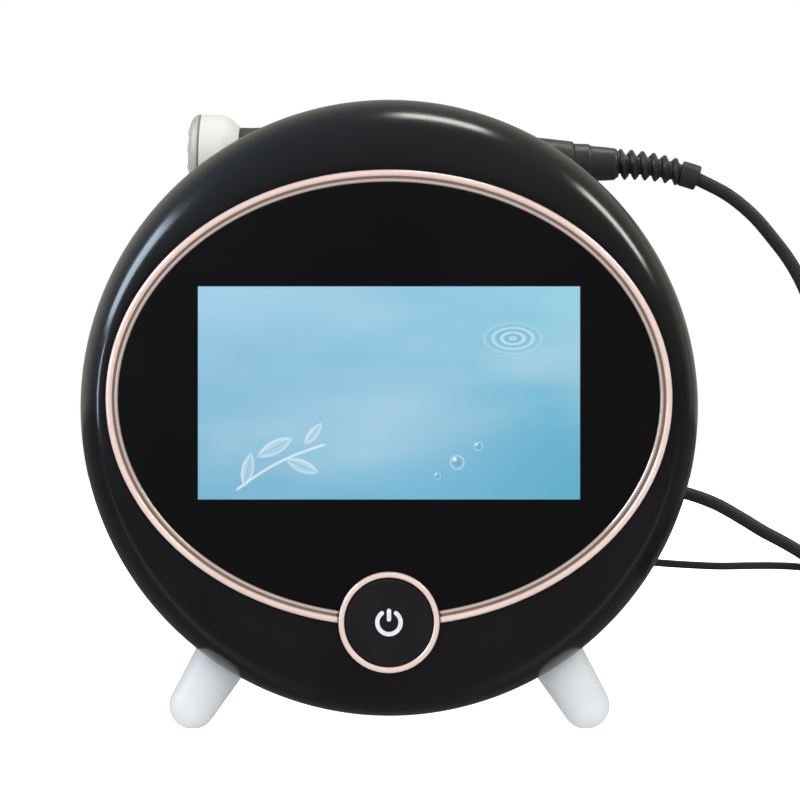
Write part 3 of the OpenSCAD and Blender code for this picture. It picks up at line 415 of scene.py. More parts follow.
def makeFrontShell(shape):
    radius, widest = console["bodyRadius"], console["widestDepth"]
    inward, along = console["seam"]
    (outerStart, outerSteps), (innerStart, innerSteps) = shape["outer"], shape["inner"]
    rings = [shellRing(grow, 0, 0, depth) for grow, depth in shape["lip"]]
    rings += shellCurve(outerStart, radius, outerSteps)[1:-1]
    rings += [shellRing(0, radius, 1, widest - along), shellRing(0, radius - inward, 1, widest)]
    rings += shellCurve(innerStart, radius - console["wall"], innerSteps)[::-1] + rings[:1]
    shell = cutButtonWell(loftRings("frontShell", rings, corners=224))
    shadeSmooth(shell, 32)
    return shell


frontShell = makeFrontShell(frontShape)
print("front shell made")

legs = {
    "endRadius": 9.9, "topRadius": 11.6, "straight": 12, "endHeight": 9.5,
    "topEdge": (0.8, 1), "pocket": {"gap": 0.2, "from": 4},
    "places": [
        {"name": "legLeft", "x": -82, "depth": 38, "splay": 31.5, "lean": 16, "length": 35.1},
        {"name": "legRight", "x": 82, "depth": 38, "splay": -31.5, "lean": 16, "length": 35.1},
        {"name": "legRear", "x": 0, "depth": 96, "splay": 0, "lean": -30, "length": 40.0},
    ],
}


def legAxis(leg):
    # place and turn of a leg, from the middle of its round end
    return {"place": (leg["x"], depthY(leg["depth"]), legs["endHeight"]),
            "turn": (-radians(leg["lean"]), radians(leg["splay"]), 0)}


def makeLeg(leg):
    r, top, length = legs["endRadius"], legs["topRadius"], leg["length"]
    taper, (inset, drop) = length - legs["straight"], legs["topEdge"]
    outline = [(r * sin(radians(a)), -r * cos(radians(a))) for a in range(0, 91, 6)]
    outline += [((r + top) / 2, taper / 2), (top, taper), (top, length - drop),
                (top - inset, length), (0, length)]
    piece = spinOutline(leg["name"], outline, **legAxis(leg), steps=72)
    pickOnly(piece)
    editAll()  # the end is flat where it stands
    bpy.ops.mesh.bisect(plane_co=(0, 0, 0), plane_no=(0, 0, 1), clear_inner=True, use_fill=True)
    facesOut()
    bpy.ops.object.mode_set(mode="OBJECT")
    return piece


rearShape = {
    # share of the dome's depth, share of the fall in radius
    "dome": [(0, 0), (0.108, 0.012), (0.216, 0.047), (0.324, 0.11), (0.432, 0.2), (0.53, 0.292),
             (0.65, 0.41), (0.757, 0.545), (0.865, 0.715), (0.946, 0.865), (0.985, 0.95), (1, 1)],
    # the lip that reaches into the front shell
    "lip": {"gap": 0.8, "thick": 2.2, "ahead": 4, "behind": 6},
    "posts": [(-91, 34), (91, 34), (-91, -34), (91, -34), (0, 78), (-54, -66), (54, -66)],
    "screwBore": [(0, 39), (1.7, 39), (1.7, 60), (3.6, 60), (3.6, 106), (0, 106)],
    "pedestal": {"width": 44, "top": 224.36, "floor": 200.07, "edge": 1.2},
    "vents": {"count": 7, "size": (3, 14, 26), "pitch": 7, "depth": 98.5, "height": 156.5,
              "edge": 1.3},
    "grille": {"centre": (-30, 101.5), "pitch": 4.4,
               "hole": [(0, 99), (1.2, 99), (1.2, 103.6), (1.7, 104.1), (1.7, 105), (0, 105)]},
    "holes": [(console["socketAt"], 8.2), (console["jackAt"], 5.2)], "holeDepths": (99, 106),
    "outlineStep": 2.4,
}


def domeLine(grow=0):
    # the dome's outline from its rim to the flat of its back, moved outward by grow
    rim, depth = console["bodyRadius"], console["backDepth"] - console["widestDepth"]
    fall = rim - console["backRadius"]
    return [(rim - f * fall + grow, console["widestDepth"] + s * depth + grow * max(0, 2 * s - 1))
            for s, f in rearShape["dome"]]


def makeDome(shape):
    radius, wall, near = console["bodyRadius"], console["wall"], console["widestDepth"]
    inward, along = console["seam"]
    outer = [(p[0], p[2]) for p in smoothLine([(r, 0, d) for r, d in domeLine()],
                                              shape["outlineStep"])]
    lip = shape["lip"]
    edge = radius - wall - lip["gap"]
    inside = edge - lip["thick"]
    outline = ([(0, console["backDepth"] - wall)] + domeLine(-wall)[:0:-1]
               + [(inside, near + lip["behind"]), (inside, near - lip["ahead"]),
                  (edge, near - lip["ahead"]), (edge, near), (radius - inward, near),
                  (radius, near + along)]
               + outer[1:] + [(0, console["backDepth"])])
    return spinOutline("rearShell", outline, **bodyAxis, steps=192)


def makePedestal(base):
    near, far = console["cradleDepths"]
    return bevelBlock("pedestal", (base["width"], far - near, base["top"] - base["floor"]),
                      (0, depthY((near + far) / 2), (base["top"] + base["floor"]) / 2),
                      base["edge"])


def makeRearShell(shape):
    shell = shapeWith(makeDome(shape), makePedestal(shape["pedestal"]), "UNION")
    cutters = [spinOutline("bore", shape["screwBore"], **alongDepth(x, ovalHeight + z), steps=40)
               for x, z in shape["posts"]]
    vents = shape["vents"]
    for i in range(vents["count"]):
        x = (i - (vents["count"] - 1) / 2) * vents["pitch"]
        cutters.append(bevelBlock("vent", vents["size"],
                                  (x, depthY(vents["depth"]), vents["height"]), vents["edge"], 4))
    grille = shape["grille"]
    x0, z0 = grille["centre"]
    for i in range(-2, 3):
        for j in range(-2, 3):
            if abs(i) + abs(j) < 4:  # a square of holes without its corners
                spot = alongDepth(x0 + i * grille["pitch"], z0 + j * grille["pitch"])
                cutters.append(spinOutline("dot", grille["hole"], **spot, steps=20))
    for spot, radius in shape["holes"]:
        cutters.append(spinOutline("round", rodOutline(radius, *shape["holeDepths"]),
                                   **alongDepth(*spot), steps=64))
    pocket = legs["pocket"]
    for leg in legs["places"]:
        cutters.append(spinOutline("pocket", rodOutline(legs["topRadius"] + pocket["gap"],
                                                        pocket["from"], leg["length"]),
                                   **legAxis(leg), steps=64))
    shell = shapeWith(shell, joinPieces("cutters", cutters))
    shadeSmooth(shell, 32)
    return shell


rearShell = makeRearShell(rearShape)
legPieces = [makeLeg(leg) for leg in legs["places"]]
print("rear shell and legs made")

trimShape = {
    # how far out from the glass and how deep
    "section": [(0.3, 2.3), (0.3, -0.1), (0.55, -0.6), (1.0, -0.95), (1.5, -0.85), (1.8, -0.3),
                (2.25, -0.05), (2.65, -0.25), (2.9, -0.95), (3.3, -1.5), (3.95, -1.6),
                (4.65, -1.36), (5.3, -0.45), (5.3, 2.3)],
    "cornerRound": 0.28,
    # where the inner bead's painted-shade tone ends, and the share of the radius over which it
    # changes
    "parting": 2.3, "partingBlur": 0.003,
    # the painted shade in the groove fades in between these depths
    "grooveShadeDepths": (-0.95, -0.1),  # the groove's dark tone fades in between them
}
glassShape = {"section": [(-0.9, 3), (0, 2.7), (0, 0.35), (-0.12, 0.1), (-0.4, 0)]}


def ovalRings(section):
    a, b = console["glassHalf"]
    return [(a + g, b + g, ovalHeight, d) for g, d in section]


section = roundCorners(trimShape["section"], trimShape["cornerRound"], 3)
trimRing = cutButtonWell(loftRings("trimRing", ovalRings(section + section[:1]), corners=256,
                                   smoothAngle=40))
coverGlass = cutButtonWell(loftRings("coverGlass", ovalRings(glassShape["section"]), capped=True))

buttonShape = {
    "bezel": [(18.1, 2.2), (18.1, -1.35), (18.4, -1.85), (18.85, -2), (19.35, -2), (20.05, -1.7),
              (20.4, -1.05), (20.4, 2.2), (18.1, 2.2)],
    "cap": [(0, -0.9), (16.6, -0.9), (17.45, -0.62), (17.8, 0.1), (17.8, 2.5), (18.5, 2.5),
            (18.5, 4.2), (4, 4.2), (4, 10.6), (0, 10.6)],
    # the symbol: an open ring with a bar between its ends
    "symbol": {"radius": 4.7, "width": 1.75, "opening": 37, "front": -1.02, "back": -0.9,
               "bar": (1.25, 4.7), "cut": {"reach": 12, "thick": 4, "depth": -1}},
}


def openingWedge(cut, opening):
    # stands on the button's centre and widens upward
    z = console["buttonHeight"]
    width, height = 2 * cut["reach"] * sin(opening), cut["reach"] * cos(opening)
    wedge = bevelBlock("wedge", (width, cut["thick"], height),
                       (0, depthY(cut["depth"]), z + height / 2))
    bpy.ops.object.mode_set(mode="EDIT")
    bpy.ops.mesh.select_all(action="DESELECT")
    bpy.ops.object.mode_set(mode="OBJECT")
    for corner in wedge.data.vertices:
        corner.select = corner.co.z < (z + 0.1) * mm
    bpy.ops.object.mode_set(mode="EDIT")
    bpy.ops.transform.resize(value=(0.001, 1, 1), center_override=(0, 0, z * mm))
    bpy.ops.object.mode_set(mode="OBJECT")
    return wedge


def makeSymbol(look):
    z, half, r = console["buttonHeight"], look["width"] / 2, look["radius"]
    front, back, opening = look["front"], look["back"], radians(look["opening"])
    symbol = spinOutline("powerSymbol", [(r - half, back), (r - half, front), (r + half, front),
                                         (r + half, back), (r - half, back)], **buttonAxis)
    symbol = shapeWith(symbol, openingWedge(look["cut"], opening))
    low, high = look["bar"]
    ends = [(r * sin(side * opening), r * cos(opening)) for side in (-1, 1)]
    for x, up in ends + [(0, low), (0, high)]:
        dot = spinOutline("dot", rodOutline(half, back, front), **alongDepth(x, z + up), steps=32)
        symbol = shapeWith(symbol, dot, "UNION")
    bar = bevelBlock("bar", (2 * half, back - front, high - low),
                     (0, depthY((back + front) / 2), z + (low + high) / 2))
    return shapeWith(symbol, bar, "UNION")


bezelPiece = spinOutline("buttonBezel", roundCorners(buttonShape["bezel"], 0.2, 3), **buttonAxis,
                         steps=144)
capPiece = spinOutline("buttonCap", roundCorners(buttonShape["cap"], {1: 0.5, 2: 0.3, 3: 0.3}),
                       **buttonAxis, steps=128)
symbolPiece = makeSymbol(buttonShape["symbol"])
print("front pieces made")

cradleShape = {
    "forkAt": 38, "forkWide": 9, "forkWall": 4, "forkRise": 3, "barTop": 229.36, "barThick": 5,
    "handleRadius": 11.5, "gap": 0.3, "domeGap": 0.4, "softEdge": 0.7,
    "boreReach": 70, "slotHeight": 20, "slotDrop": 1.3,  # the slots follow the handle's tilt
    "screws": {"x": 14, "depth": 92, "radius": 1.7, "headRadius": 3, "headDrop": 1.5},
}


def makeCradleBar(shape):
    near, far = console["cradleDepths"]
    bottom = shape["barTop"] - shape["barThick"]
    top = console["handpieceHeight"] + shape["forkRise"]
    bar = bevelBlock("cradle", (2 * shape["forkAt"] + shape["forkWide"], far - near,
                                shape["barThick"]),
                     (0, depthY((near + far) / 2), bottom + shape["barThick"] / 2))
    for side in (-1, 1):
        fork = bevelBlock("fork", (shape["forkWide"],
                                   2 * (shape["handleRadius"] + shape["forkWall"]), top - bottom),
                          (side * shape["forkAt"], depthY(console["handpieceDepth"]),
                           (top + bottom) / 2))
        bar = shapeWith(bar, fork, "UNION")
    return bar


def makeCradle(shape):
    bore, reach = shape["handleRadius"] + shape["gap"], shape["boreReach"]
    base = shapeWith(makeCradleBar(shape), spinOutline("rod", rodOutline(bore, -reach, reach),
                                                       **handpieceAxis))
    screws, top = shape["screws"], shape["barTop"]
    bottom, head = top - shape["barThick"] - 1, top - screws["headDrop"]
    screwHole = [(0, bottom), (screws["radius"], bottom), (screws["radius"], head),
                 (screws["headRadius"], head), (screws["headRadius"], top + 1), (0, top + 1)]
    for side in (-1, 1):
        floor = console["handpieceHeight"] - side * shape["slotDrop"]
        slot = bevelBlock("slot", (2 * shape["forkWide"], 2 * bore, shape["slotHeight"]),
                          (side * shape["forkAt"], depthY(console["handpieceDepth"]),
                           floor + shape["slotHeight"] / 2))
        base = shapeWith(base, slot)
        hole = spinOutline("hole", screwHole, (side * screws["x"], depthY(screws["depth"]), 0),
                           steps=32)
        base = shapeWith(base, hole)
    dome = domeLine(shape["domeGap"])
    dome = [(0, console["widestDepth"])] + dome + [(0, dome[-1][1])]
    base = shapeWith(base, spinOutline("dome", dome, **bodyAxis, steps=192))
    softenEdges(base, shape["softEdge"], 40)
    return base


cradlePiece = makeCradle(cradleShape)
print("cradle made")

handpieceShape = {
    "plate": [(0, -87.2), (10.3, -87.2), (11, -87.1), (12.8, -86.6), (14.4, -85.5),
              (15.3, -84.3), (15.7, -83.4), (15.7, -83.1), (0, -83.1)],
    "ring": [(0, -83.1), (15.3, -83.1), (15.3, -82.4), (0, -82.4)],
    "bell": [(0, -82.4), (15.5, -82.4), (15.7, -82.1), (15.7, -74), (15.4, -71.8), (14.5, -70),
             (13.1, -68.1), (11.5, -66.3), (10.6, -65.6), (0, -65.5)],
    "bellRound": {1: 0.3, 2: 0.3, 3: 2, 4: 1.5, 5: 1.5, 6: 1.5, 7: 1, 8: 0.3},
    "handle": [(8.7, -65.5), (10.5, -65.5), (10.5, -60), (11.5, -51), (11.5, 50), (10.3, 67),
               (9.3, 79.1), (8.9, 79.8), (7.5, 79.8), (8.5, 66), (8.7, 50), (8.7, -51),
               (8.7, -65.5)],
    "handleRound": {1: 0.3, 2: 4, 3: 4, 4: 8, 5: 6, 6: 0.4, 7: 0.4},
    "cap": [(0, 79.8), (8.1, 79.8), (8.4, 80.1), (8.4, 86.4), (8.1, 86.8), (7.75, 87.2),
            (7.6, 88.2), (7.3, 94), (6.9, 98), (6.3, 98.9), (0, 99)],
    "electrodes": {"count": 6, "circle": 8.2, "face": -87.2, "radius": 2.3, "stand": 0.7,
                   "ball": 4.1, "sink": 3.0, "gap": 0.02, "holeEdge": 0.25},
}


def electrodePlaces(studs):
    # on the plate's front face, evenly round its middle
    turns = [2 * pi * i / studs["count"] for i in range(studs["count"])]
    for turn in turns:
        x, y, z = handpieceSpot(studs["face"], studs["circle"] * sin(turn))
        yield x, y + studs["circle"] * cos(turn), z


def makeElectrodes(studs):
    r, ball = studs["radius"], studs["ball"]
    centre = ball - studs["stand"]
    rim = [r * k / 7 for k in range(8)]
    outline = [(out, centre - sqrt(ball ** 2 - out ** 2)) for out in rim]
    outline += [(r, studs["sink"]), (0, studs["sink"])]
    return joinPieces("electrodeStuds", [
        spinOutline("stud", outline, spot, handpieceAxis["turn"], steps=28)
        for spot in electrodePlaces(studs)])


def turnHandpiecePart(name, part, radii, corner=4, steps=128):
    outline = roundCorners(handpieceShape[part], radii, corner)
    return spinOutline(name, outline, **handpieceAxis, steps=steps)


def makePlate(studs):
    plate = turnHandpiecePart("electrodePlate", "plate", 0.3, 3, 112)
    r, floor = studs["radius"] + studs["gap"], studs["sink"] + studs["gap"]
    edge = studs["holeEdge"]
    outline = [(0, -2), (r + edge, -2), (r + edge, 0), (r, edge), (r, floor), (0, floor)]
    holes = [spinOutline("hole", outline, spot, handpieceAxis["turn"], steps=28)
             for spot in electrodePlaces(studs)]
    return shapeWith(plate, joinPieces("holes", holes))


electrodePlate = makePlate(handpieceShape["electrodes"])
electrodeStuds = makeElectrodes(handpieceShape["electrodes"])
headRing = turnHandpiecePart("headRing", "ring", 0.25, 3, 96)
headBell = turnHandpiecePart("headBell", "bell", handpieceShape["bellRound"])
handleBody = turnHandpiecePart("handleBody", "handle", handpieceShape["handleRound"], 5)
handleCap = turnHandpiecePart("handleCap", "cap", 0.3, 3, 96)

reliefShape = {
    "start": 99.05, "end": 134.6, "droopFrom": 103, "droop": 0.005,
    "outer": (6.75, 5.8), "core": (4.1, 3.7),  # radius at the start and at the end
    "neck": 0.9,  # length of the thick start, and how far it stays inside the outer radius
    "collar": {"from": 126.9, "radius": 5.5, "edge": 0.7, "round": (0.5, 0.6)},
    # the rib winds round the core: its crest and its foot, each with its radius and how deep
    # its middle lies under the outer radius
    "thread": (100.4, 126.2), "pitch": 4.65, "phase": 105,
    "wires": {"crest": (0.8, 0.8), "foot": (1.65, 2.25)},
    "coreSteps": 150, "turnSteps": 36,
}


def reliefAxis(along):
    # the strain relief's axis droops with the cord
    past = max(0, along - reliefShape["droopFrom"])
    return -reliefShape["droop"] * past ** 2, atan2(2 * reliefShape["droop"] * past, 1)


def between(ends, share):
    return ends[0] + (ends[1] - ends[0]) * share


def reliefRadius(shape, along):
    first, last, collar = shape["start"], shape["end"], shape["collar"]
    if along > collar["from"]:
        near, far = collar["round"]
        return (collar["radius"]
                - near * max(0, 1 - (along - collar["from"]) / collar["edge"]) ** 2
                - far * max(0, 1 - (last - along) / collar["edge"]) ** 2)
    if along < first + shape["neck"]:
        return shape["outer"][0] - shape["neck"]
    return between(shape["core"], (along - first) / (last - first))


def makeThread(name, shape, wire, sunk):
    start, end = shape["thread"]
    count = int((end - start) / shape["pitch"] * shape["turnSteps"])
    line = []
    for k in range(count + 1):
        along = between(shape["thread"], k / count)
        drop, lean = reliefAxis(along)
        reach = between(shape["outer"], k / count) - sunk
        turn = 2 * pi * (along - shape["phase"]) / shape["pitch"]
        up = reach * cos(turn)
        x, y, z = handpieceSpot(along + up * sin(lean), drop + up * cos(lean))
        line.append((x, y - reach * sin(turn), z))
    return sweepTube(name, line, [wire] * len(line))


def makeRelief(shape):
    steps = shape["coreSteps"]
    places = [between((shape["start"], shape["end"]), k / steps) for k in range(steps + 1)]
    core = sweepTube("core", [handpieceSpot(s, reliefAxis(s)[0]) for s in places],
                     [reliefRadius(shape, s) for s in places], 6)
    threads = [makeThread(name, shape, *wire) for name, wire in shape["wires"].items()]
    return joinPieces("strainRelief", [core] + threads)


strainRelief = makeRelief(reliefShape)
print("handpiece made")

backShapes = {
    "handSocket": [(6.5, 98), (6.5, 107.6), (6.9, 108), (9.4, 108), (10.4, 107.2), (10.4, 104),
                   (8, 104), (8, 89), (0, 89), (0, 98), (6.5, 98)],
    "supplyJack": [(2.8, 96), (2.8, 105.7), (3.1, 106), (6.1, 106), (6.6, 105.6), (6.6, 104),
                   (5, 104), (5, 92), (0, 92), (0, 96), (2.8, 96)],
    "handPlug": [(0, 99), (6.3, 99), (6.3, 108.1), (8.6, 108.1), (9, 108.6), (9, 111), (8.6, 111.4),
                 (8.6, 112.4), (9, 112.8), (9, 115), (8.6, 115.4), (8.6, 116.4), (9, 116.8),
                 (9, 122.4), (8.3, 123.1), (6, 123.3), (6, 123.9), (5.6, 125.4), (5.1, 125.7),
                 (5.1, 126.5), (5.3, 126.8), (4.8, 128.2), (4.4, 128.5), (4.4, 129.3), (4.6, 129.6),
                 (3.9, 131.8), (3.6, 132), (0, 132)],
    "supplyPlug": [(0, 97), (2.6, 97), (2.6, 106.1), (4.9, 106.1), (5.2, 106.5), (5.2, 119.3),
                   (4.8, 119.9), (3.6, 120), (3.55, 121.6), (3.0, 121.9), (3.0, 122.7),
                   (3.3, 123), (3.2, 124.5), (2.7, 124.8), (2.7, 125.6), (2.9, 125.9),
                   (2.8, 127.2), (2.4, 127.5), (2.4, 128.3), (2.5, 128.6), (2.2, 130), (0, 130)],
}


def turnBackPart(name, spot):
    return spinOutline(name, roundCorners(backShapes[name], 0.15, 2), **alongDepth(*spot))


handSocket = turnBackPart("handSocket", console["socketAt"])
supplyJack = turnBackPart("supplyJack", console["jackAt"])
handPlug = turnBackPart("handPlug", console["socketAt"])
supplyPlug = turnBackPart("supplyPlug", console["jackAt"])

adapterShape = {
    "corner": (255, 58), "size": (60, 42, 28), "edge": 3.4,
    "groove": {"at": 12, "width": 0.7, "depth": 0.4, "edge": 3.1},
    "ribs": {"count": 5, "first": 21, "pitch": 3.6, "size": (30, 1.5, 2), "out": 0.2, "edge": 0.3},
    # the lead's gland, along its own axis
    "gland": [(0, 249.1), (2.3, 249.1), (2.5, 249.6), (2.6, 250.6), (2.2, 250.9), (2.2, 251.5),
              (2.8, 251.8), (3.0, 252.8), (2.6, 253.1), (2.6, 253.7), (3.3, 254), (3.6, 256),
              (0, 256)],
    "glandAt": (0, 83, 12),
    "pin": [(0, 0), (1.1, 0), (1.7, 0.35), (2, 1.1), (2, 8.6), (1.88, 8.8), (1.88, 18.9), (0, 19)],
    "pinSpread": 9.5,
}


def makeAdapter(shape):
    (x0, y0), (w, l, h) = shape["corner"], shape["size"]
    x, z = x0 + w / 2, h / 2
    box = bevelBlock("wallAdapter", (w, l, h), (x, y0 + l / 2, z), shape["edge"], 5)
    groove, ribs = shape["groove"], shape["ribs"]
    spot = (x, y0 + groove["at"], z)
    ring = bevelBlock("groove", (w + 2, groove["width"], h + 2), spot)
    inner = bevelBlock("inner", (w - 2 * groove["depth"], 3, h - 2 * groove["depth"]), spot,
                       groove["edge"], 5)
    box = shapeWith(box, shapeWith(ring, inner))
    for i in range(ribs["count"]):  # grip ribs cut in the two sides
        for side in (-1, 1):
            nick = bevelBlock("nick", ribs["size"], (x, y0 + ribs["first"] + i * ribs["pitch"],
                                                     z + side * (h / 2 + ribs["out"])),
                              ribs["edge"], 2)
            box = shapeWith(box, nick)
    gland = spinOutline("gland", shape["gland"], shape["glandAt"], (0, pi / 2, 0), steps=48)
    return joinPieces("wallAdapter", [box, gland])


def makePins(shape):
    (x0, y0), (w, _, h) = shape["corner"], shape["size"]
    length = shape["pin"][-1][1]
    return joinPieces("adapterPins", [
        spinOutline("pin", shape["pin"], (x0 + w / 2 + side * shape["pinSpread"], y0 - length,
                                          h / 2), (-pi / 2, 0, 0), steps=40)
        for side in (-1, 1)])


wallAdapter = makeAdapter(adapterShape)
adapterPins = makePins(adapterShape)
print("sockets and adapter made")


def paint(r, g, b):
    # a colour as picked on screen, turned into the shader's linear values
    def line(v):
        v /= 255
        return v / 12.92 if v <= 0.04045 else ((v + 0.055) / 1.055) ** 2.4
    return (line(r), line(g), line(b), 1)


def addNode(tree, kind, **settings):
    node = tree.nodes.new(kind)
    for key, value in settings.items():
        setattr(node, key, value)
    return node


def feed(tree, node, socket, value):
    # links a socket, or writes a plain value
    if isinstance(value, bpy.types.NodeSocket):
        tree.links.new(value, node.inputs[socket])
    else:
        node.inputs[socket].default_value = value


def calc(tree, operation, *values):
    node = addNode(tree, "ShaderNodeMath", operation=operation)
    for i, value in enumerate(values):
        feed(tree, node, i, value)
    return node.outputs[0]


def plus(tree, a, b):
    return calc(tree, "ADD", a, b)


def minus(tree, a, b):
    return calc(tree, "SUBTRACT", a, b)


def times(tree, a, b):
    return calc(tree, "MULTIPLY", a, b)


def absolute(tree, a):
    return calc(tree, "ABSOLUTE", a)


def hypotenuse(tree, a, b):
    return calc(tree, "SQRT", plus(tree, times(tree, a, a), times(tree, b, b)))


def blendColours(tree, factor, one, two):
    node = addNode(tree, "ShaderNodeMix", data_type="RGBA")
    for socket, value in ((0, factor), (6, one), (7, two)):
        feed(tree, node, socket, value)
    return node.outputs[2]


def remap(tree, value, low, high, toLow, toHigh, smooth=False):
    node = addNode(tree, "ShaderNodeMapRange",
                   interpolation_type="SMOOTHSTEP" if smooth else "LINEAR")
    for i, item in enumerate((value, low, high, toLow, toHigh)):
        feed(tree, node, i, item)
    return node.outputs[0]


def axes(tree, vector):
    node = addNode(tree, "ShaderNodeSeparateXYZ")
    tree.links.new(vector, node.inputs[0])
    return node.outputs


def startFinish(name):
    finish = bpy.data.materials.new(name)
    finish.use_nodes = True
    tree = finish.node_tree
    place = addNode(tree, "ShaderNodeTexCoord").outputs["Object"]
    return finish, tree, tree.nodes["Principled BSDF"], place


def grain(tree, place, scale, detail=3.0, stretch=None, rough=0.5):
    if stretch:
        shift = addNode(tree, "ShaderNodeMapping")
        shift.inputs["Scale"].default_value = stretch
        tree.links.new(place, shift.inputs["Vector"])
        place = shift.outputs[0]
    noise = addNode(tree, "ShaderNodeTexNoise")
    tree.links.new(place, noise.inputs["Vector"])
    noise.inputs["Scale"].default_value = scale
    noise.inputs["Detail"].default_value = detail
    noise.inputs["Roughness"].default_value = rough
    return noise.outputs[0]


def trimPaintedShade(tree, place, tone, groove, inner):
    # painted shade: the tone darkens with depth, so the groove and the walls behind the front are
    # painted dark; on the trim, a greyer bead next to the glass is painted shade too
    spot = axes(tree, place)
    # painted shade: the inner bead, which slopes toward the glass, gets a greyer, darker tone
    if inner:
        a, b = (half + trimShape["parting"] for half in console["glassHalf"])
        blur = trimShape["partingBlur"]
        side = calc(tree, "DIVIDE", spot[0], a * mm)
        rise = calc(tree, "DIVIDE", minus(tree, spot[2], ovalHeight * mm), b * mm)
        inside = remap(tree, hypotenuse(tree, side, rise), 1 - blur, 1 + blur, 1, 0, True)
        tone = blendColours(tree, inside, tone, paint(*inner))
    # painted shade: the deeper the surface lies, the darker it is
    near, far = (depthY(depth) * mm for depth in trimShape["grooveShadeDepths"])
    return blendColours(tree, remap(tree, spot[1], near, far, 0, 1, True), tone, paint(*groove))


grainSpan = (0.3, 0.7)  # where most of a grain's values lie


def surfaceFinish(name, colour, shade, mottle, fineness, rough, relief, reliefDepth,
                  metal=0.0, ior=1.5, stretch=None, groove=None, inner=None):
    # two tones mottled by a broad grain, roughness and fine relief by a fine one
    finish, tree, shader, place = startFinish(name)
    broad = grain(tree, place, mottle, 4, stretch)
    fine = grain(tree, place, fineness, 2, stretch)
    tone = blendColours(tree, remap(tree, broad, 0.35, 0.65, 0, 1), paint(*colour), paint(*shade))
    # painted shade in the recesses of the trim and the bezel
    if groove:
        tone = trimPaintedShade(tree, place, tone, groove, inner)
    feed(tree, shader, "Base Color", tone)
    feed(tree, shader, "Roughness", plus(tree, remap(tree, broad, *grainSpan, *rough),
                                         remap(tree, fine, *grainSpan, -0.02, 0.02)))
    bump = addNode(tree, "ShaderNodeBump")
    bump.inputs["Strength"].default_value = relief
    bump.inputs["Distance"].default_value = reliefDepth * mm
    feed(tree, bump, "Height", fine)
    tree.links.new(bump.outputs[0], shader.inputs["Normal"])
    shader.inputs["Metallic"].default_value = metal
    shader.inputs["IOR"].default_value = ior
    return finish


# colour, shade, scale of the mottling and of the grain, roughness from and to, strength and
# depth of the relief
looks = {
    "glossBlack": ((15, 15, 17), (19, 19, 21), 18, 260, (0.155, 0.2), 0.15, 0.003),
    "satinBlack": ((35, 35, 35), (41, 41, 41), 90, 2600, (0.38, 0.48), 0.5, 0.03),
    "buttonBlack": ((17, 15, 18), (20, 18, 21), 120, 3000, (0.3, 0.38), 0.35, 0.01),
    "softRubber": ((31, 31, 32), (38, 38, 39), 140, 1500, (0.4, 0.5), 0.3, 0.008),
    "cordRubber": ((31, 31, 32), (35, 35, 36), 60, 400, (0.52, 0.58), 0.0, 0.02),
    "roseGold": ((233, 209, 201), (226, 202, 194), 30, 1800, (0.15, 0.2), 0.15, 0.003),
    "glossWhite": ((200, 203, 205), (193, 196, 199), 30, 320, (0.5, 0.58), 0.2, 0.005),
    "warmWhite": ((218, 216, 211), (212, 210, 205), 30, 320, (0.48, 0.56), 0.2, 0.005),
    "seamGrey": ((140, 137, 130), (128, 125, 118), 120, 2000, (0.4, 0.5), 0.3, 0.01),
    "symbolWhite": ((196, 198, 202), (186, 188, 192), 500, 3000, (0.4, 0.5), 0.2, 0.02),
    "brushedSteel": ((173, 172, 162), (161, 160, 151), 70, 1600, (0.58, 0.66), 0.4, 0.01),
    "brightChrome": ((240, 240, 240), (228, 228, 228), 120, 2000, (0.08, 0.14), 0.15, 0.004),
    "nickel": ((188, 186, 182), (168, 166, 162), 90, 1500, (0.22, 0.32), 0.3, 0.01),
    "darkSteel": ((70, 70, 72), (54, 54, 56), 150, 1800, (0.3, 0.42), 0.3, 0.01),
    "brass": ((200, 168, 96), (180, 148, 80), 150, 1600, (0.25, 0.35), 0.3, 0.01),
    "boardGreen": ((28, 92, 58), (20, 74, 46), 260, 2400, (0.3, 0.42), 0.4, 0.03),
    "chipBlack": ((32, 32, 34), (42, 42, 44), 300, 3000, (0.5, 0.62), 0.5, 0.02),
    "coilTape": ((196, 150, 62), (178, 132, 50), 160, 1400, (0.35, 0.5), 0.4, 0.04),
    "sleeveBlue": ((34, 44, 96), (28, 36, 80), 200, 1500, (0.25, 0.35), 0.3, 0.02),
    "ribbonGrey": ((168, 168, 170), (140, 140, 144), 500, 1500, (0.4, 0.5), 0.4, 0.02),
    "ribbonAmber": ((190, 120, 46), (168, 100, 36), 500, 1500, (0.3, 0.4), 0.4, 0.02),
    "wireRed": ((150, 34, 30), (130, 28, 25), 400, 1600, (0.35, 0.45), 0.4, 0.02),
    "frameGrey": ((62, 62, 66), (52, 52, 56), 100, 2200, (0.45, 0.55), 0.5, 0.03),
    "foldedSheet": ((186, 188, 190), (166, 168, 171), 200, 1300, (0.3, 0.42), 0.3, 0.02),
    "borderInk": ((8, 8, 9), (12, 12, 13), 200, 2000, (0.3, 0.4), 0.2, 0.02),
}
lookExtras = {
    "glossBlack": {"ior": 1.42},
    "cordRubber": {"ior": 1.42},
    # groove: the colour of the painted shade in the groove and other recesses
    "roseGold": {"metal": 0.33, "groove": (132, 108, 98)},
    "brushedSteel": {"metal": 0.25},
    "brightChrome": {"metal": 0.5},
    "nickel": {"metal": 1.0},
    "darkSteel": {"metal": 1.0},
    "brass": {"metal": 1.0},
    "coilTape": {"stretch": (1, 6, 1)},
    "ribbonGrey": {"stretch": (9, 1, 1)},
    "ribbonAmber": {"stretch": (9, 1, 1)},
    "wireRed": {"stretch": (9, 1, 1)},
    "foldedSheet": {"metal": 1.0, "stretch": (1, 1, 5)},
}
looks["roseTrim"] = looks["roseGold"]
# inner: the greyer painted-shade tone of the trim's inner bead
lookExtras["roseTrim"] = {**lookExtras["roseGold"], "inner": (188, 179, 171)}
finishes = {name: surfaceFinish(name, *row, **lookExtras.get(name, {}))
            for name, row in looks.items()}

